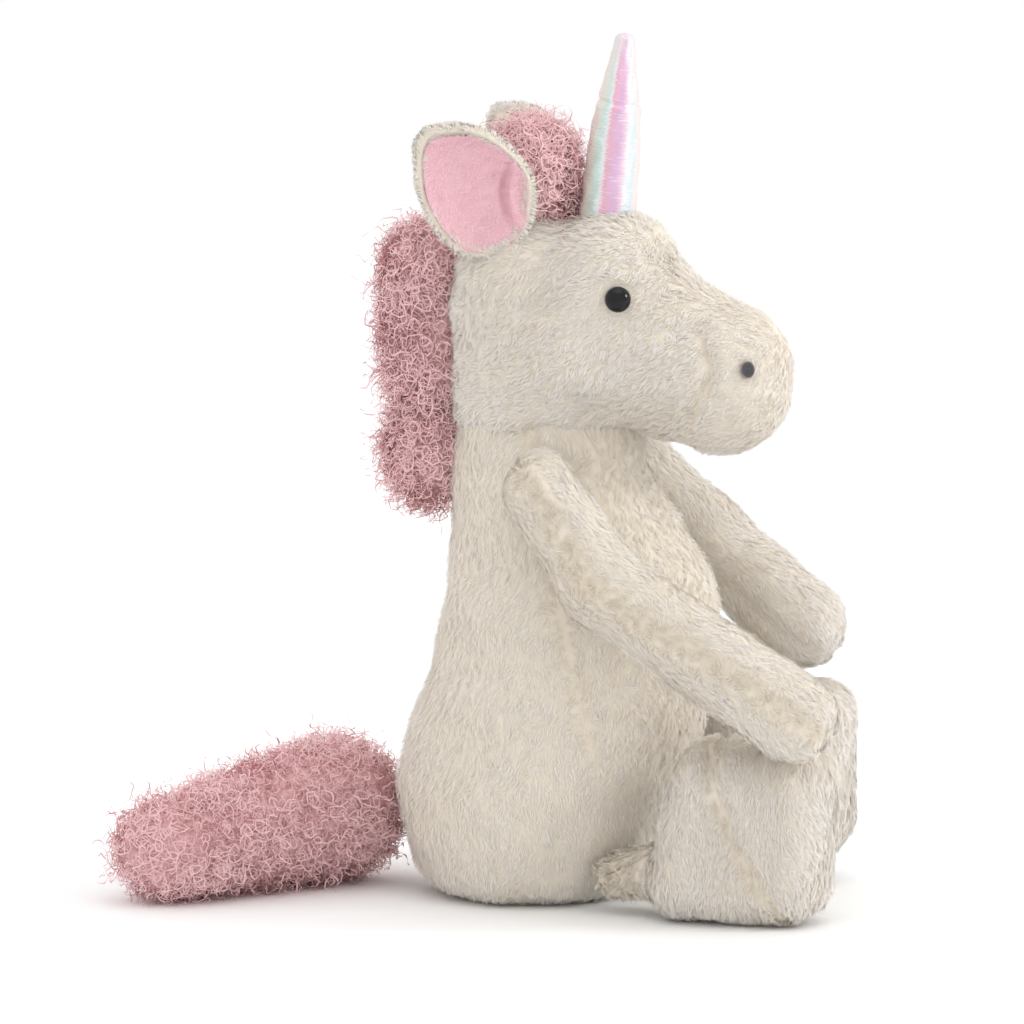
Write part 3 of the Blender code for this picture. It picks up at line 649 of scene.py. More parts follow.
# ------------------------------------------------------------------- settings


def length_setting(name, description, default):
    return bpy.props.FloatProperty(
        name=name, description=description, default=default, subtype="DISTANCE", unit="LENGTH"
    )


def colour_setting(name, description, default):
    return bpy.props.FloatVectorProperty(
        name=name, description=description, default=default, subtype="COLOR"
    )


class PlushSizes(bpy.types.PropertyGroup):
    pile: length_setting("Fur length", "Length of the body's fur", 3.6 * MM)
    curl: length_setting("Curl radius", "Radius of the yarn's curls", 2.1 * MM)
    thread: length_setting("Yarn radius", "Radius of one strand of yarn", 0.28 * MM)
    density: bpy.props.FloatProperty(
        name="Density", description="Share of the full number of fibres", default=1.0, min=0.02, max=1.0
    )


class PlushColours(bpy.types.PropertyGroup):
    fur: colour_setting("Fur", "Colour of the cream fur", (0.845, 0.81, 0.765))
    yarn: colour_setting("Yarn", "Colour of the mane and tail", (1.0, 0.95, 0.95))
    lining: colour_setting("Lining", "Colour of the ear linings", (0.98, 0.75, 0.78))


def how_many(full):
    return int(full * settings().density)


def cream_pile(name, skin, grain, count, seed, **more):
    """A skin with the body's cream fur."""
    return fur_mesh(name, skin, grain, how_many(count), seed, settings().pile, cream_fur(), **more)


def combed(root, direction):
    """The same direction for every root."""
    return np.tile(np.array(direction, float), (len(root), 1))


# ------------------------------------------------------------------ operators


class PLUSH_OT_torso(bpy.types.Operator):
    """Makes the torso's fur, which tucks in at the neck"""

    bl_idname = "plush.torso"
    bl_label = "Torso"

    def execute(self, context):
        points, triangles = settled(torso_skin(80, 90), PILE_ROOM, LUMPS, 13 * MM, 2)
        tucked = 2 * MM * np.clip((points[:, 2] - 156 * MM) / (14 * MM), 0, 1)
        points[:, :2] *= 1 - (tucked / np.maximum(np.hypot(points[:, 0], points[:, 1]), 5 * MM))[:, None]
        skin = (points, triangles)

        def side_seam(points):
            return points[..., 1] + 15 * MM + 0.26 * (112 * MM - points[..., 2])

        def grain(root):
            level = np.clip((root[:, 2] - 45 * MM) / (25 * MM), 0, 1)
            seam = trough(side_seam(root), 3 * MM) * level * (np.abs(root[:, 0]) > 15 * MM)
            front = np.clip(-side_seam(root) / (20 * MM), 0, 1)
            lie = combed(root, (0, 0.15, -1))
            lie[:, 1] += 0.9 * seam * np.sign(side_seam(root))
            # Painted shade: the fur is darker along the side seam and over the front of the torso.
            tone = 0.84 + 0.08 * waves(root, 0.03, 5) - 0.4 * seam - 0.16 * front
            return lie, 1 - 0.1 * seam, tone, 0.25 * front + 0.7 * seam

        def hidden(points):
            under = (points[:, 2] < 0.5 * MM) & (np.hypot(points[:, 0], points[:, 1]) < 30 * MM)
            return np.where(under | (points[:, 2] > NECK_TOP - 3 * MM), 0.97, 0.0)

        torso = cream_pile("torso_fur", skin, grain, 91000, 3, bare=hidden)
        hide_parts("torso_shell", "torso_stuffing", "seat_bean_pouch")
        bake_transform(torso)
        return {"FINISHED"}


EYE_AIM = (-27 * MM, -32 * MM, 82 * MM)
NOSTRIL_AIM = (-19.5 * MM, -76 * MM, 59 * MM)
EYE_RADIUS = 4.5 * MM
NOSTRIL_HALF = (2.3 * MM, 2.8 * MM)


def mirrored(aim, side):
    """An aim on the unicorn's right (1) or left (-1)."""
    return np.array((aim[0] * side, aim[1], aim[2]))


class PLUSH_OT_head(bpy.types.Operator):
    """Makes the head's fur with the pinched seam round the muzzle"""

    bl_idname = "plush.head"
    bl_label = "Head"

    def execute(self, context):
        jawed = pinch(head_field, jaw_crease, 2.6 * MM, 3.2 * MM, jaw_strength)
        field = pinch(jawed, muzzle_seam, 1.5 * MM, 1.8 * MM, seam_strength)
        spots = [head_spot(mirrored(aim, side))[0] for aim in (EYE_AIM, NOSTRIL_AIM) for side in (1, -1)]
        sizes = (4.6 * MM, 4.6 * MM, 2.4 * MM, 2.4 * MM)

        def nearness(points):
            """Distances to the eyes and nostrils, as shares of their sizes."""
            return [np.linalg.norm(points - spot, axis=1) / size for spot, size in zip(spots, sizes)]

        def dimpled(points):
            away = [np.linalg.norm(points - spot, axis=-1) for spot in spots]
            return field(points) + 1.1 * MM * sum(trough(d, size * 1.5) for d, size in zip(away, sizes))

        whole = ball_skin(dimpled, HEAD_MIDDLE, (0, -1, 0), 90, 90, 1.2)
        skin = settled(whole, PILE_ROOM, 0.4 * MM, 11 * MM, 4)

        def grain(root):
            ahead = muzzle_seam(root)
            seam = trough(ahead, 2.2 * MM) * seam_strength(root)
            nose = np.clip(ahead / (6 * MM), 0, 1)
            throat = trough(jaw_crease(root) + 1 * MM, 3 * MM) * jaw_strength(root)
            lie = combed(root, (0, 0.75, -0.6))
            lie[:, 1] -= 1.6 * seam * (ahead > 0)
            close = np.min(nearness(root), axis=0)
            scale = (1 - 0.3 * nose) * np.clip(close / 2.2, 0.35, 1) * (1 - 0.25 * seam)
            # Painted shade: darker in the seam round the muzzle and in the crease where the jaw meets the
            # throat.
            tone = 0.84 + 0.08 * waves(root, 0.026, 7) - 0.5 * seam - 0.7 * throat
            return lie, scale, tone, 0.8 * seam + 0.15 * (1 - nose)

        def hidden(points):
            inside = (points[:, 2] < 160 * MM) & (points[:, 1] > -30 * MM)
            return np.where(inside | (np.min(nearness(points), axis=0) < 0.9), 0.99, 0.0)

        head = cream_pile("head_fur", skin, grain, 91000, 4, bare=hidden)
        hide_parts("head_shell", "muzzle_shell", "head_stuffing")
        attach(head, "head")
        return {"FINISHED"}


# In mm, how far outside the arm's flat root, how far ahead of the middle, and how high: below the shoulders
# for the shoulder and the elbow, above the ground for the hand
ARMS = {
    "right": ((14.2, 13, 3), (19.9, 36, 33), (25.6, 106.5, 76)),
    "left": ((14.2, 13, 5), (23.5, 38, 33), (21.5, 73, 89.5)),
}
ARM_RADII = (13.5 * MM, 14.8 * MM, 16.5 * MM)


class PLUSH_OT_arms(bpy.types.Operator):
    """Makes both arms' fur, with the ruffled seam along each"""

    bl_idname = "plush.arms"
    bl_label = "Arms"

    def execute(self, context):
        for k, (tag, side) in enumerate(PAIR):
            pivot = joint_of(f"arm_{tag}")
            rows = np.array(ARMS[tag]) * MM
            heights = (SHOULDER_HEIGHT - rows[0][2], SHOULDER_HEIGHT - rows[1][2], rows[2][2])
            shoulder, elbow, hand = (
                np.array((pivot[0] - side * row[0], -row[1], height)) for row, height in zip(rows, heights)
            )

            def field(at):
                upper = round_cone(at, shoulder, elbow, ARM_RADII[0], ARM_RADII[1])
                fore = round_cone(at, elbow, hand, ARM_RADII[1], ARM_RADII[2])
                root = egg(at, pivot + np.array((-side * 5 * MM, 0, 0)), (13 * MM, 11 * MM, 12 * MM))
                inward = side * (at[..., 0] - pivot[0])
                return np.maximum(melt(melt(upper, fore, 6 * MM), root, 5 * MM), inward)

            along = unit(hand - shoulder)
            outward = np.array((-side, 0, 0.2))
            ridge = unit(np.cross(along, outward))
            ridge = ridge * np.sign(ridge[2])

            def seam(points):
                way = (points - shoulder) @ along
                bend = (elbow - shoulder) @ ridge
                stops = (0, (elbow - shoulder) @ along, np.linalg.norm(hand - shoulder))
                middle = np.interp(way, stops, (0, bend, 0))
                return (points - shoulder) @ ridge - middle + 2 * MM * np.sin(way / (26 * MM))

            pinched = pinch(field, seam, 0.9 * MM, 2.6 * MM)
            whole = ball_skin(pinched, elbow, tuple(hand - shoulder), 64, 56, 1.0, 3.0)
            skin = settled(whole, PILE_ROOM, LUMPS, 11 * MM, 6 + k)

            def grain(root):
                line = trough(seam(root), 4.5 * MM) * np.clip((root - elbow) @ outward / (5 * MM), 0, 1)
                lie = along + 0.8 * line[:, None] * np.sign(seam(root))[:, None] * ridge
                # Painted shade: darker along the ruffled seam.
                tone = 0.86 + 0.08 * waves(root, 0.03, 8 + k) - 0.6 * line
                return lie, 1 - 0.05 * line, tone, 1.1 * line

            arm = cream_pile(f"arm_fur_{tag}", skin, grain, 36000, 20 + k)
            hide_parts(f"arm_shell_{tag}", f"arm_stuffing_{tag}")
            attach(arm, f"arm_{tag}")
        return {"FINISHED"}


# How far to the side, how far ahead, and how high over the ground
FEET = {"right": (39 * MM, 79 * MM, 0), "left": (49.4 * MM, 60 * MM, 7 * MM)}
FOOT_HALF = np.array((20.5, 34.5, 32.5)) * MM
FOOT_HEIGHT = 65 * MM
FOOT_ROUNDING = 16 * MM
FOOT_TAPER = 0.26
FOOT_LEAN = 10 * MM
HIP_RADIUS = 8.5 * MM


class PLUSH_OT_legs(bpy.types.Operator):
    """Makes both legs' fur: a blocky foot and its gathered root"""

    bl_idname = "plush.legs"
    bl_label = "Legs"

    def execute(self, context):
        for k, (tag, side) in enumerate(PAIR):
            pivot = joint_of(f"leg_{tag}")
            beside, ahead, lift = FEET[tag]
            centre = np.array((-side * beside, -ahead, FOOT_HEIGHT / 2 + lift))

            def gather(points):
                return trough(np.linalg.norm(points - pivot, axis=-1), 15 * MM)

            def field(at):
                tall = np.clip((at[..., 2] - lift) / FOOT_HEIGHT, 0, 1)
                leaned = at.copy()
                deep = (at[..., 1] - centre[1]) * (1 + FOOT_TAPER * tall)
                leaned[..., 1] = centre[1] + deep + FOOT_LEAN * tall
                boot = round_box(leaned, centre, FOOT_HALF, FOOT_ROUNDING)
                root = round_cone(at, pivot, centre - np.array((0, 0, 14 * MM)), HIP_RADIUS, HIP_RADIUS * 1.4)
                around = np.arctan2(at[..., 2] - pivot[2], at[..., 0] - pivot[0])
                fold = np.sin(7 * around + at[..., 1] / (4 * MM))
                return melt(boot, root + 1.1 * MM * fold * gather(at), 5 * MM)

            def seam(points):
                height = (points[..., 2] - lift) / MM
                return points[..., 1] - centre[1] - (0.66 * height - 0.003 * height**2 - 23.5) * MM

            pinched = pinch(field, seam, 1.2 * MM, 1.8 * MM)
            whole = ball_skin(pinched, centre, tuple(pivot - centre), 64, 64, 1.1)
            skin = settled(whole, PILE_ROOM, LUMPS, 12 * MM, 9 + k)

            def grain(root):
                line = trough(seam(root), 2.5 * MM)
                near = gather(root)
                lie = combed(root, (0, -0.2, -1))
                lie[:, 1] += 0.8 * line * np.sign(seam(root))
                # Painted shade: darker along the seam and where the leg gathers in at the hip.
                tone = 0.84 + 0.08 * waves(root, 0.03, 9 + k) - 0.45 * line - 0.5 * near
                return lie, 1 - 0.1 * line, tone, 0.5 * line + 1.2 * near

            leg = cream_pile(f"leg_fur_{tag}", skin, grain, 52000, 30 + k)
            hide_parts(f"leg_shell_{tag}", f"leg_stuffing_{tag}", f"foot_bean_pouch_{tag}")
            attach(leg, f"leg_{tag}")
        return {"FINISHED"}


EAR_HALF_WIDTH = 21 * MM
EAR_HALF_HEIGHT = 28 * MM
LINING_SHARE = 0.87
EAR_TURN = math.radians(22)
EAR_SPLAY = math.radians(12)
EAR_CENTRE = np.array((-30, 18, 251)) * MM
# Corners round the ear, as shares of its half width and half height
EAR_OUTLINE = np.array((
    (1.0, 0.1), (0.98, 0.46), (0.89, 0.71), (0.62, 0.8), (-0.02, 0.76), (-0.37, 0.62), (-0.71, 0.36),
    (-0.91, 0.14), (-0.98, -0.06), (-0.94, -0.37), (-0.81, -0.7), (-0.45, -0.98), (0.0, -1.0),
    (0.39, -0.89), (0.64, -0.66), (0.9, -0.29),
))  # fmt: skip
# Scale and height (mm) of the rings from the middle of the ear's back over its rim to the middle of its front
EAR_SECTION = np.array((
    (0.05, -3.0), (0.5, -3.1), (0.8, -3.0), (0.92, -2.3), (0.975, -1.0), (0.99, 0.3), (0.97, 1.8),
    (0.92, 2.7), (0.86, 2.4), (0.79, 0.4), (0.6, -1.8), (0.3, -2.3), (0.05, -2.4),
))  # fmt: skip


def ear_axes(side):
    """Across, up and outward directions of an ear, and its middle."""
    out = np.array((-side * math.cos(EAR_TURN), -math.sin(EAR_TURN), 0))
    across = np.array((-side * math.sin(EAR_TURN), math.cos(EAR_TURN), 0))
    c, s = math.cos(-side * EAR_SPLAY), math.sin(-side * EAR_SPLAY)
    tip = np.array(((c, 0, s), (0, 1, 0), (-s, 0, c)))
    return tip @ across, tip @ np.array((0, 0, 1.0)), tip @ out, EAR_CENTRE * np.array((side, 1, 1))


def ear_outline(count):
    """The outline as smooth shares of half width and half height: a periodic rolling mean of its corners."""
    place = np.linspace(0, len(EAR_OUTLINE), count, endpoint=False)
    looped = np.vstack((EAR_OUTLINE, EAR_OUTLINE[:1]))
    fine = np.stack([np.interp(place, np.arange(len(looped)), looped[:, k]) for k in range(2)], axis=1)
    reach = count // 32
    return sum(np.roll(fine, k, axis=0) for k in range(-reach, reach + 1)).T / (2 * reach + 1)


class PLUSH_OT_ears(bpy.types.Operator):
    """Makes the ears' fur backs and their pink velour linings"""

    bl_idname = "plush.ears"
    bl_label = "Ears"

    def execute(self, context):
        c = tuple(colours().lining)
        root = (c[0] * 0.93, c[1] * 0.8, c[2] * 0.84)
        # The deep pink end of the shade ramp is random tone, and also painted shade in the lining's fold.
        shades = ((0.84, 0.62, 0.68), (1, 1, 1))
        velour = pile_finish("pink_velour_pile", root, c, lighter(c, 1.08), shades, 0.8, 0.5)
        for k, (tag, side) in enumerate(PAIR):
            across, up, out, middle = ear_axes(side)
            wide, tall = ear_outline(96)

            def place(u, v, forward):
                return middle + u[..., None] * across + v[..., None] * up + forward[..., None] * out

            steps = np.linspace(0, len(EAR_SECTION) - 1, 44)
            known = np.arange(len(EAR_SECTION))
            scale, forward = (np.interp(steps, known, values)[:, None] for values in EAR_SECTION.T)
            u, v = EAR_HALF_WIDTH * scale * wide, EAR_HALF_HEIGHT * scale * tall
            skin = settled(ring_skin(place(u, v, forward * MM + 0 * wide)), 0.3 * MM, 0.3 * MM, 8 * MM, 12)

            def in_ear(points):
                """The place in the ear's own axes, and its share of the way out to the outline."""
                local = points - middle
                u, v = local @ across / EAR_HALF_WIDTH, local @ up / EAR_HALF_HEIGHT
                angle = np.arctan2(tall, wide)
                limit = np.interp(np.arctan2(v, u), angle, np.hypot(wide, tall), period=2 * np.pi)
                return local, np.hypot(u, v) / limit

            def grain(root):
                local, share = in_ear(root)
                flat = local - (local @ out)[:, None] * out
                turned_in = (local @ out > 1 * MM) & (share < 0.9)
                lie = unit(flat) * np.where(turned_in, -0.2, 1)[:, None] + 0.2 * up
                tone = 0.88 + 0.06 * waves(root, 0.02, 12 + k)
                return lie, 0.7 + 0 * tone, tone, 0.2 + 0 * tone

            def covered(points):
                local, share = in_ear(points)
                return np.where((local @ out > -2.6 * MM) & (share < 0.8), 0.995, 0.0)

            back = cream_pile(f"ear_fur_{tag}", skin, grain, 14000, 40 + k, lift=0.45, bare=covered)
            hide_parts(f"ear_back_{tag}")
            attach(back, f"ear_{tag}")

            radial = np.linspace(0.03, 1, 34)[:, None]
            u = EAR_HALF_WIDTH * LINING_SHARE * radial * wide - 0.4 * MM
            v = EAR_HALF_HEIGHT * LINING_SHARE * radial * tall - 0.9 * MM

            def crease(a, b):
                """Distance past the fold near the front edge, and the fold's strength at that height."""
                bow = (b + 6 * MM) / (13 * MM)
                strength = np.clip(1.6 - np.abs(bow) * 1.4, 0, 1)
                return a + 9.5 * MM + 3.2 * MM * bow**2, strength

            gap, strong = crease(u, v)
            dish = (0.1 + 2.4 * radial**3) * MM - 1.5 * MM * strong * trough(gap, 1.5 * MM)
            dish = dish + 1.6 * MM * strong * np.exp(-(((gap + 2.6 * MM) / (2.2 * MM)) ** 2))
            rings = np.concatenate((place(u, v, dish), place(u, v, dish - 0.8 * MM)[::-1]))

            def lining_grain(root):
                local, _ = in_ear(root)
                gap, strong = crease(local @ across, local @ up)
                fold = strong * trough(gap - 0.4 * MM, 1.6 * MM)
                lie = combed(root, up * 0.8 - across * 0.5)
                # Painted shade: darker in the fold near the front edge.
                tone = 0.80 + 0.08 * waves(root, 0.012, 15) - 0.75 * fold
                return lie, 1 + 0 * tone, tone, 0.1 + 0 * tone

            skin = ring_skin(rings)
            nap = (1.2 * MM, velour, 0.7, 1.6, 0.2, 0.16)
            lining = fur_mesh(f"ear_velour_{tag}", skin, lining_grain, how_many(18000), 50 + k, *nap)
            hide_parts(f"ear_lining_{tag}")
            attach(lining, f"ear_{tag}")
        return {"FINISHED"}


def joint_of(body):
    """The point of the joint that carries a body."""
    return np.array(next(j for j in frame["joints"] if j["child"] == body)["pos_m"])


MANE_HALF = np.array((13.5, 15, 14)) * MM


class PLUSH_OT_mane(bpy.types.Operator):
    """Makes the curly mane down the neck, its upper part carried by the head"""

    bl_idname = "plush.mane"
    bl_label = "Mane"

    def execute(self, context):
        for k, (tag, foot, top) in enumerate((("upper", 168, 233), ("lower", 137, 172))):
            half = MANE_HALF
            low, high = foot * MM + half[2], max(top * MM - half[2], foot * MM + half[2])
            centre = np.array((0, NECK_BACK + 8 * MM, (low + high) / 2))

            def field(points):
                flat = points - centre
                flat[..., 2] = points[..., 2] - np.clip(points[..., 2], low, high)
                return egg(flat, (0, 0, 0), half)

            skin = ball_skin(field, centre, (0, 0, 1), 34, 28, 1.0, 2.0 if tag == "upper" else 1.0)
            count = how_many(2900 if tag == "upper" else 1500)
            mane = yarn_mesh(f"mane_yarn_{tag}", skin, count, 60 + k, 7.5 * MM, 1.8, 2 * MM, (0, 0.3, -0.05))
            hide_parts(f"mane_{tag}")
            if tag == "upper":
                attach(mane, "head")
            else:
                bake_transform(mane)
        return {"FINISHED"}


class PLUSH_OT_forelock(bpy.types.Operator):
    """Makes the curly tuft between the ears"""

    bl_idname = "plush.forelock"
    bl_label = "Forelock"

    def execute(self, context):
        centre = np.array((0, 6.5 * MM, 249 * MM))
        radii = np.array((14, 14, 19.5)) * MM
        skin = ball_skin(lambda points: egg(points, centre, radii), centre, (0, 0, 1), 30, 32)
        tuft = yarn_mesh("forelock_yarn", skin, how_many(2000), 70, 8 * MM, 2.0, lean=(0, 0, 0.4))
        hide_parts("forelock")
        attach(tuft, "head")
        return {"FINISHED"}


TAIL_ROOT_RADIUS = 25 * MM
TAIL_END_RADIUS = 18 * MM
TAIL_LENGTH = 74 * MM
TAIL_SWEEP = math.radians(57)


class PLUSH_OT_tail(bpy.types.Operator):
    """Makes the curly tail lying to the unicorn's right"""

    bl_idname = "plush.tail"
    bl_label = "Tail"

    def execute(self, context):
        root = joint_of("tail")
        reach = TAIL_LENGTH * np.array((-math.sin(TAIL_SWEEP), math.cos(TAIL_SWEEP), 0))
        end = root + reach + np.array((0, 0, TAIL_END_RADIUS - TAIL_ROOT_RADIUS))

        def field(points):
            return round_cone(points, root, end, TAIL_ROOT_RADIUS - 2 * MM, TAIL_END_RADIUS - 2.5 * MM)

        skin = ball_skin(field, (root + end) / 2, tuple(end - root), 44, 36, 1.0, 2.2)
        tail = yarn_mesh("tail_yarn", skin, how_many(4000), 80, 6.5 * MM, 1.7)
        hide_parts("tail_cover", "tail_stuffing")
        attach(tail, "tail")
        return {"FINISHED"}


HORN_BASE_RADIUS = 9.6 * MM
HORN_HEIGHT = 60.3 * MM
HORN_TILT = math.radians(5.8)
HORN_SETBACK = 20.9 * MM
# Height and radius, as shares of the two sizes above
HORN_PROFILE = np.array((
    (-0.1, 1.02), (0.1, 1.0), (0.25, 0.97), (0.38, 0.92), (0.5, 0.85), (0.61, 0.74), (0.83, 0.49), (1.0, 0.3),
))  # fmt: skip
# Where each band starts round the horn, and its colour
HORN_BANDS = [
    (0.04, (0.62, 0.80, 0.80)),
    (0.13, (0.86, 0.60, 0.70)),
    (0.24, (0.88, 0.74, 0.72)),
    (0.36, (0.80, 0.84, 0.72)),
    (0.41, (0.60, 0.86, 0.80)),
    (0.44, (0.90, 0.93, 0.92)),
    (0.46, (0.86, 0.50, 0.60)),
    (0.53, (0.74, 0.52, 0.76)),
    (0.555, (0.90, 0.66, 0.76)),
    # Painted highlight: this pale blue-white band stands for the shine down the lit side of the horn.
    (0.58, (0.88, 0.93, 0.97)),
    (0.63, (0.66, 0.83, 0.88)),
    (0.67, (0.92, 0.84, 0.78)),
    (0.76, (0.88, 0.72, 0.66)),
    (0.86, (0.82, 0.56, 0.74)),
    (0.96, (0.60, 0.82, 0.80)),
]


class PLUSH_OT_horn(bpy.types.Operator):
    """Makes the horn's pearly cloth with its soft creases"""

    bl_idname = "plush.horn"
    bl_label = "Horn"

    def execute(self, context):
        axis = np.array((0, -math.sin(HORN_TILT), math.cos(HORN_TILT)))
        foot = head_spot((0, -HORN_SETBACK, CROWN_TOP))[0]
        t = np.linspace(-0.1, 1, 140)[:, None]
        angle = np.linspace(0, 2 * np.pi, 72, endpoint=False)[None, :]
        radius = HORN_BASE_RADIUS * np.interp(t, *HORN_PROFILE.T)
        cap = np.sqrt(np.clip(1 - ((t - 0.965) / 0.035).clip(0, 1) ** 2, 0.0004, 1))
        pull = 0.16 * MM * np.sin(5 * angle + 4 * t) * np.sin(t * 37) + 0.12 * MM * np.sin(9 * angle - 21 * t)
        tied = -0.45 * MM * trough(t - 0.60 - 0.006 * np.sin(angle), 0.014)
        radius = (radius + pull + (tied + 0.3 * MM * trough(t - 0.57, 0.02))) * cap
        e1 = np.array((1.0, 0, 0))
        e2 = np.cross(axis, e1)
        centre = foot + axis * HORN_HEIGHT * t[..., None]
        rings = centre + radius[..., None] * (np.cos(angle)[..., None] * e1 + np.sin(angle)[..., None] * e2)
        points, triangles = ring_skin(rings)
        corner = points[triangles] - foot
        side = corner - (corner @ axis)[..., None] * axis
        around = np.arctan2(side @ e2, side @ e1) / (2 * np.pi) + 0.5
        around = around - np.round(around - around.mean(axis=1, keepdims=True))
        past = around - around[:, :1]
        around = around - (past > 0.5) + (past < -0.5)
        uvs = np.stack((around.ravel(), (corner @ axis).ravel() / HORN_HEIGHT), 1)
        horn = make_mesh("horn_cloth", points, (triangles,), uvs, self.pearl())
        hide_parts("horn_cover", "horn_stuffing")
        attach(horn, "head")
        return {"FINISHED"}

    def pearl(self):
        """Bands of pink, lilac, mint and cream that run lengthwise, their edges broken by fine scratches."""
        finish = Finish(
            "pearl_foil_cloth", 0.3, Coat_Weight=0.25, Coat_Roughness=0.15, Specular_IOR_Level=0.5
        )
        around, along = finish.map_parts("OFBake")
        where = finish.node("ShaderNodeUVMap", {"uv_map": "OFBake"}).outputs[0]
        mapped = finish.node("ShaderNodeMapping", None, {0: where, 3: (9.0, 85.0, 1.0)}).outputs[0]
        fine = finish.noise(1.0, 3.0, mapped)
        slow = finish.noise(6.0, 2.0, where)
        place = around + 0.45 + (fine - 0.5) * 0.09 + (slow - 0.5) * 0.05
        turned = place.math("FRACT", place)
        bands = finish.node("ShaderNodeValToRGB", {"stops": HORN_BANDS}, {0: turned})
        warm = finish.mix((along - 0.45) * 1.2, bands.outputs[0], (0.95, 0.55, 0.62, 1), "SOFT_LIGHT")
        tip = finish.node("ShaderNodeMapRange", None, {0: along, 1: 0.75, 2: 1.0, 3: 0.0, 4: 0.65})
        pale = finish.mix(tip.outputs[0], warm, (0.84, 0.80, 0.82, 1))
        speck = finish.node("ShaderNodeMapRange", None, {0: fine, 1: 0.58, 2: 0.75, 3: 0.0, 4: 0.6})
        dim = finish.mix(1.0, pale, (0.86, 0.82, 0.84, 1), "MULTIPLY")
        finish.paint("Base Color", finish.mix(speck.outputs[0], dim, (0.92, 0.92, 0.93, 1)))
        finish.paint("Roughness", 0.45 - fine * 0.3)
        finish.paint("Metallic", fine * 0.35)
        relief = {"Strength": 0.6, "Distance": 0.5 * MM, "Height": fine}
        finish.paint("Normal", finish.node("ShaderNodeBump", None, relief).outputs[0])
        return finish.material


class PLUSH_OT_face(bpy.types.Operator):
    """Makes the glossy eyes and the stitched nostrils"""

    bl_idname = "plush.face"
    bl_label = "Face"

    def execute(self, context):
        gloss = Finish("black_eye_plastic", 0.05, Specular_IOR_Level=0.3)
        share = gloss.noise(900.0, 2.0) * 0.5
        gloss.paint("Base Color", gloss.mix(share, (0.004, 0.004, 0.005, 1), (0.012, 0.010, 0.010, 1)))
        thread = Finish("grey_stitch_thread", 0.55, Sheen_Weight=0.4)
        dark, pale = (0.03, 0.028, 0.03, 1), (0.11, 0.10, 0.105, 1)
        thread.paint("Base Color", thread.mix(thread.noise(1800.0, 3.0), dark, pale))
        for tag, side in PAIR:
            self.eye(tag, side, gloss.material)
            self.nostril(tag, side, thread.material)
        return {"FINISHED"}

    def eye(self, tag, side, finish):
        """A dome over a flat rear: rings of (radius, height) turned about the outward direction."""
        spot, out = head_spot(mirrored(EYE_AIM, side))
        polar = np.linspace(2, 90, 24) * math.pi / 180
        rows = [(EYE_RADIUS * math.sin(a), 3.5 * MM * math.cos(a) + 0.7 * MM) for a in polar]
        rows += [(EYE_RADIUS, -0.8 * MM), (2.0 * MM, -1.0 * MM), (0.3 * MM, -1.0 * MM)]
        radius, height = np.array(rows).T[..., None]
        angle = np.linspace(0, 2 * np.pi, 48, endpoint=False)
        rings = np.stack((radius * np.cos(angle), radius * np.sin(angle), height + 0 * angle), -1)
        points, triangles = ring_skin(spot + rings @ turned_to(tuple(out)).T)
        dome = make_mesh(f"eye_dome_{tag}", points, (triangles,), None, finish)
        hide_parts(f"eye_{tag}", f"eye_washer_{tag}")
        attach(dome, "head")

    def nostril(self, tag, side, finish):
        """A raised oval of ridged stitches."""
        spot, out = head_spot(mirrored(NOSTRIL_AIM, side))
        spot = spot - 1.1 * MM * out
        radial = np.linspace(0.05, 1, 18)[:, None]
        angle = np.linspace(0, 2 * np.pi, 96, endpoint=False)[None, :]
        u = NOSTRIL_HALF[0] * radial * np.cos(angle)
        v = NOSTRIL_HALF[1] * radial * np.sin(angle)
        ridge = 0.16 * MM * np.cos(u / (0.42 * MM) * 2 * np.pi) * (1 - radial**6)
        height = 1.5 * MM + 0.9 * MM * np.sqrt(np.clip(1 - radial**2, 0, 1)) + ridge
        front = np.stack((u, v, height), -1)
        rear = np.stack((u, v, 0 * u - 0.5 * MM), -1)
        rings = spot + np.concatenate((front, rear[::-1])) @ turned_to(tuple(out)).T
        points, triangles = ring_skin(rings)
        patch = make_mesh(f"nostril_stitch_{tag}", points, (triangles,), None, finish)
        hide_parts(f"nostril_{tag}")
        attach(patch, "head")


FLOOR_HALF = 6.0
BACKDROP_STRENGTH = 1.02
# Name, place, size (m) and power (W)
SOFTBOXES = (("key", (0.15, -1.35, 0.75), 0.4, 6.0), ("top", (-0.4, -0.3, 1.7), 1.4, 4.0))
LIT_SPOT = Vector((0, 0, 0.13))
CAMERA_AZIMUTH = math.radians(-72)
CAMERA_ELEVATION = math.radians(8)
CAMERA_DISTANCE = 4.5
# How much the picture spans at the unicorn, and where its middle lies to the right of and above the origin
PICTURE_WIDTH = 0.3568
PICTURE_MIDDLE = (-13.6 * MM, 132.1 * MM)
SENSOR_WIDTH = 36


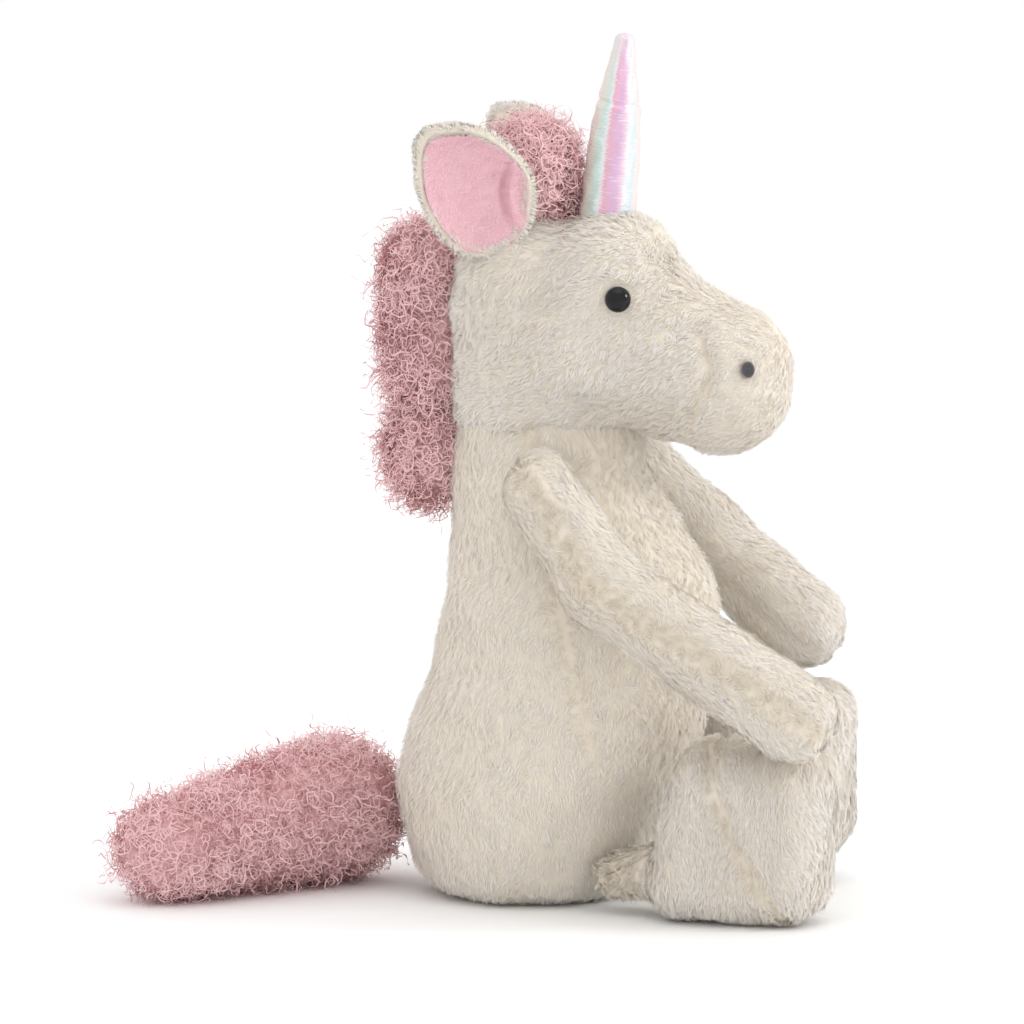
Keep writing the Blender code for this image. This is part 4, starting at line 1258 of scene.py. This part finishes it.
class PLUSH_OT_stage(bpy.types.Operator):
    """Makes the pale floor, the soft studio light and the camera"""

    bl_idname = "plush.stage"
    bl_label = "Stage"

    def execute(self, context):
        scene = context.scene
        scene.view_settings.view_transform = "Standard"
        corners = FLOOR_HALF * np.array(((-1, -1, 0), (1, -1, 0), (1, 1, 0), (-1, 1, 0)))
        pale = Finish("pale_floor", 0.9, Specular_IOR_Level=0.1)
        pale.paint("Base Color", (0.97, 0.97, 0.97, 1))
        floor = make_mesh("floor", corners, (np.array(((0, 1, 2, 3),)),), None, pale.material, smooth=False)
        world = bpy.data.worlds.new("studio")
        world.use_nodes = True
        backdrop = world.node_tree.nodes["Background"]
        backdrop.inputs["Color"].default_value = (1, 1, 1, 1)
        backdrop.inputs["Strength"].default_value = BACKDROP_STRENGTH
        scene.world = world
        for softbox in SOFTBOXES:
            self.softbox(*softbox)
        self.camera()
        return {"FINISHED"}

    def softbox(self, name, place, size, power):
        light = bpy.data.lights.new(name, "AREA")
        light.shape = "DISK"
        light.size = size
        light.energy = power
        lamp = bpy.data.objects.new(name, light)
        lamp.location = place
        lamp.rotation_euler = (LIT_SPOT - Vector(place)).to_track_quat("-Z", "Y").to_euler()
        bpy.context.collection.objects.link(lamp)

    def camera(self):
        level = Vector((math.sin(CAMERA_AZIMUTH), -math.cos(CAMERA_AZIMUTH), 0))
        back = level * math.cos(CAMERA_ELEVATION) + Vector((0, 0, math.sin(CAMERA_ELEVATION)))
        right = Vector((math.cos(CAMERA_AZIMUTH), math.sin(CAMERA_AZIMUTH), 0))
        target = right * PICTURE_MIDDLE[0] + back.cross(right) * PICTURE_MIDDLE[1]
        view = bpy.data.cameras.new("camera")
        view.sensor_width = SENSOR_WIDTH
        view.lens = SENSOR_WIDTH * CAMERA_DISTANCE / PICTURE_WIDTH
        view.clip_end = 50
        camera = bpy.data.objects.new("camera", view)
        camera.location = target + back * CAMERA_DISTANCE
        camera.rotation_euler = (-back).to_track_quat("-Z", "Y").to_euler()
        bpy.context.collection.objects.link(camera)
        bpy.context.scene.camera = camera


class PLUSH_PT_panel(bpy.types.Panel):
    """Lists the unicorn's pieces in the sidebar"""

    bl_idname = "PLUSH_PT_panel"
    bl_label = "Plush Unicorn"
    bl_space_type = "VIEW_3D"
    bl_region_type = "UI"
    bl_category = "Plush"

    def draw(self, context):
        for name in PlushSizes.__annotations__:
            self.layout.prop(context.scene.plush_sizes, name)
        for name in PlushColours.__annotations__:
            self.layout.prop(context.scene.plush_colours, name)
        for operator in OPERATORS:
            self.layout.operator(operator.bl_idname)


OPERATORS = (
    PLUSH_OT_stage,
    PLUSH_OT_torso,
    PLUSH_OT_head,
    PLUSH_OT_arms,
    PLUSH_OT_legs,
    PLUSH_OT_ears,
    PLUSH_OT_mane,
    PLUSH_OT_forelock,
    PLUSH_OT_tail,
    PLUSH_OT_horn,
    PLUSH_OT_face,
)
CLASSES = (PlushSizes, PlushColours, *OPERATORS, PLUSH_PT_panel)


def register():
    for each in CLASSES:
        bpy.utils.register_class(each)
    bpy.types.Scene.plush_sizes = bpy.props.PointerProperty(type=PlushSizes)
    bpy.types.Scene.plush_colours = bpy.props.PointerProperty(type=PlushColours)


def unregister():
    del bpy.types.Scene.plush_colours
    del bpy.types.Scene.plush_sizes
    for each in reversed(CLASSES):
        bpy.utils.unregister_class(each)


def main():
    register()
    for operator in OPERATORS:
        group, name = operator.bl_idname.split(".")
        getattr(getattr(bpy.ops, group), name)()


if __name__ == "__main__":
    main()
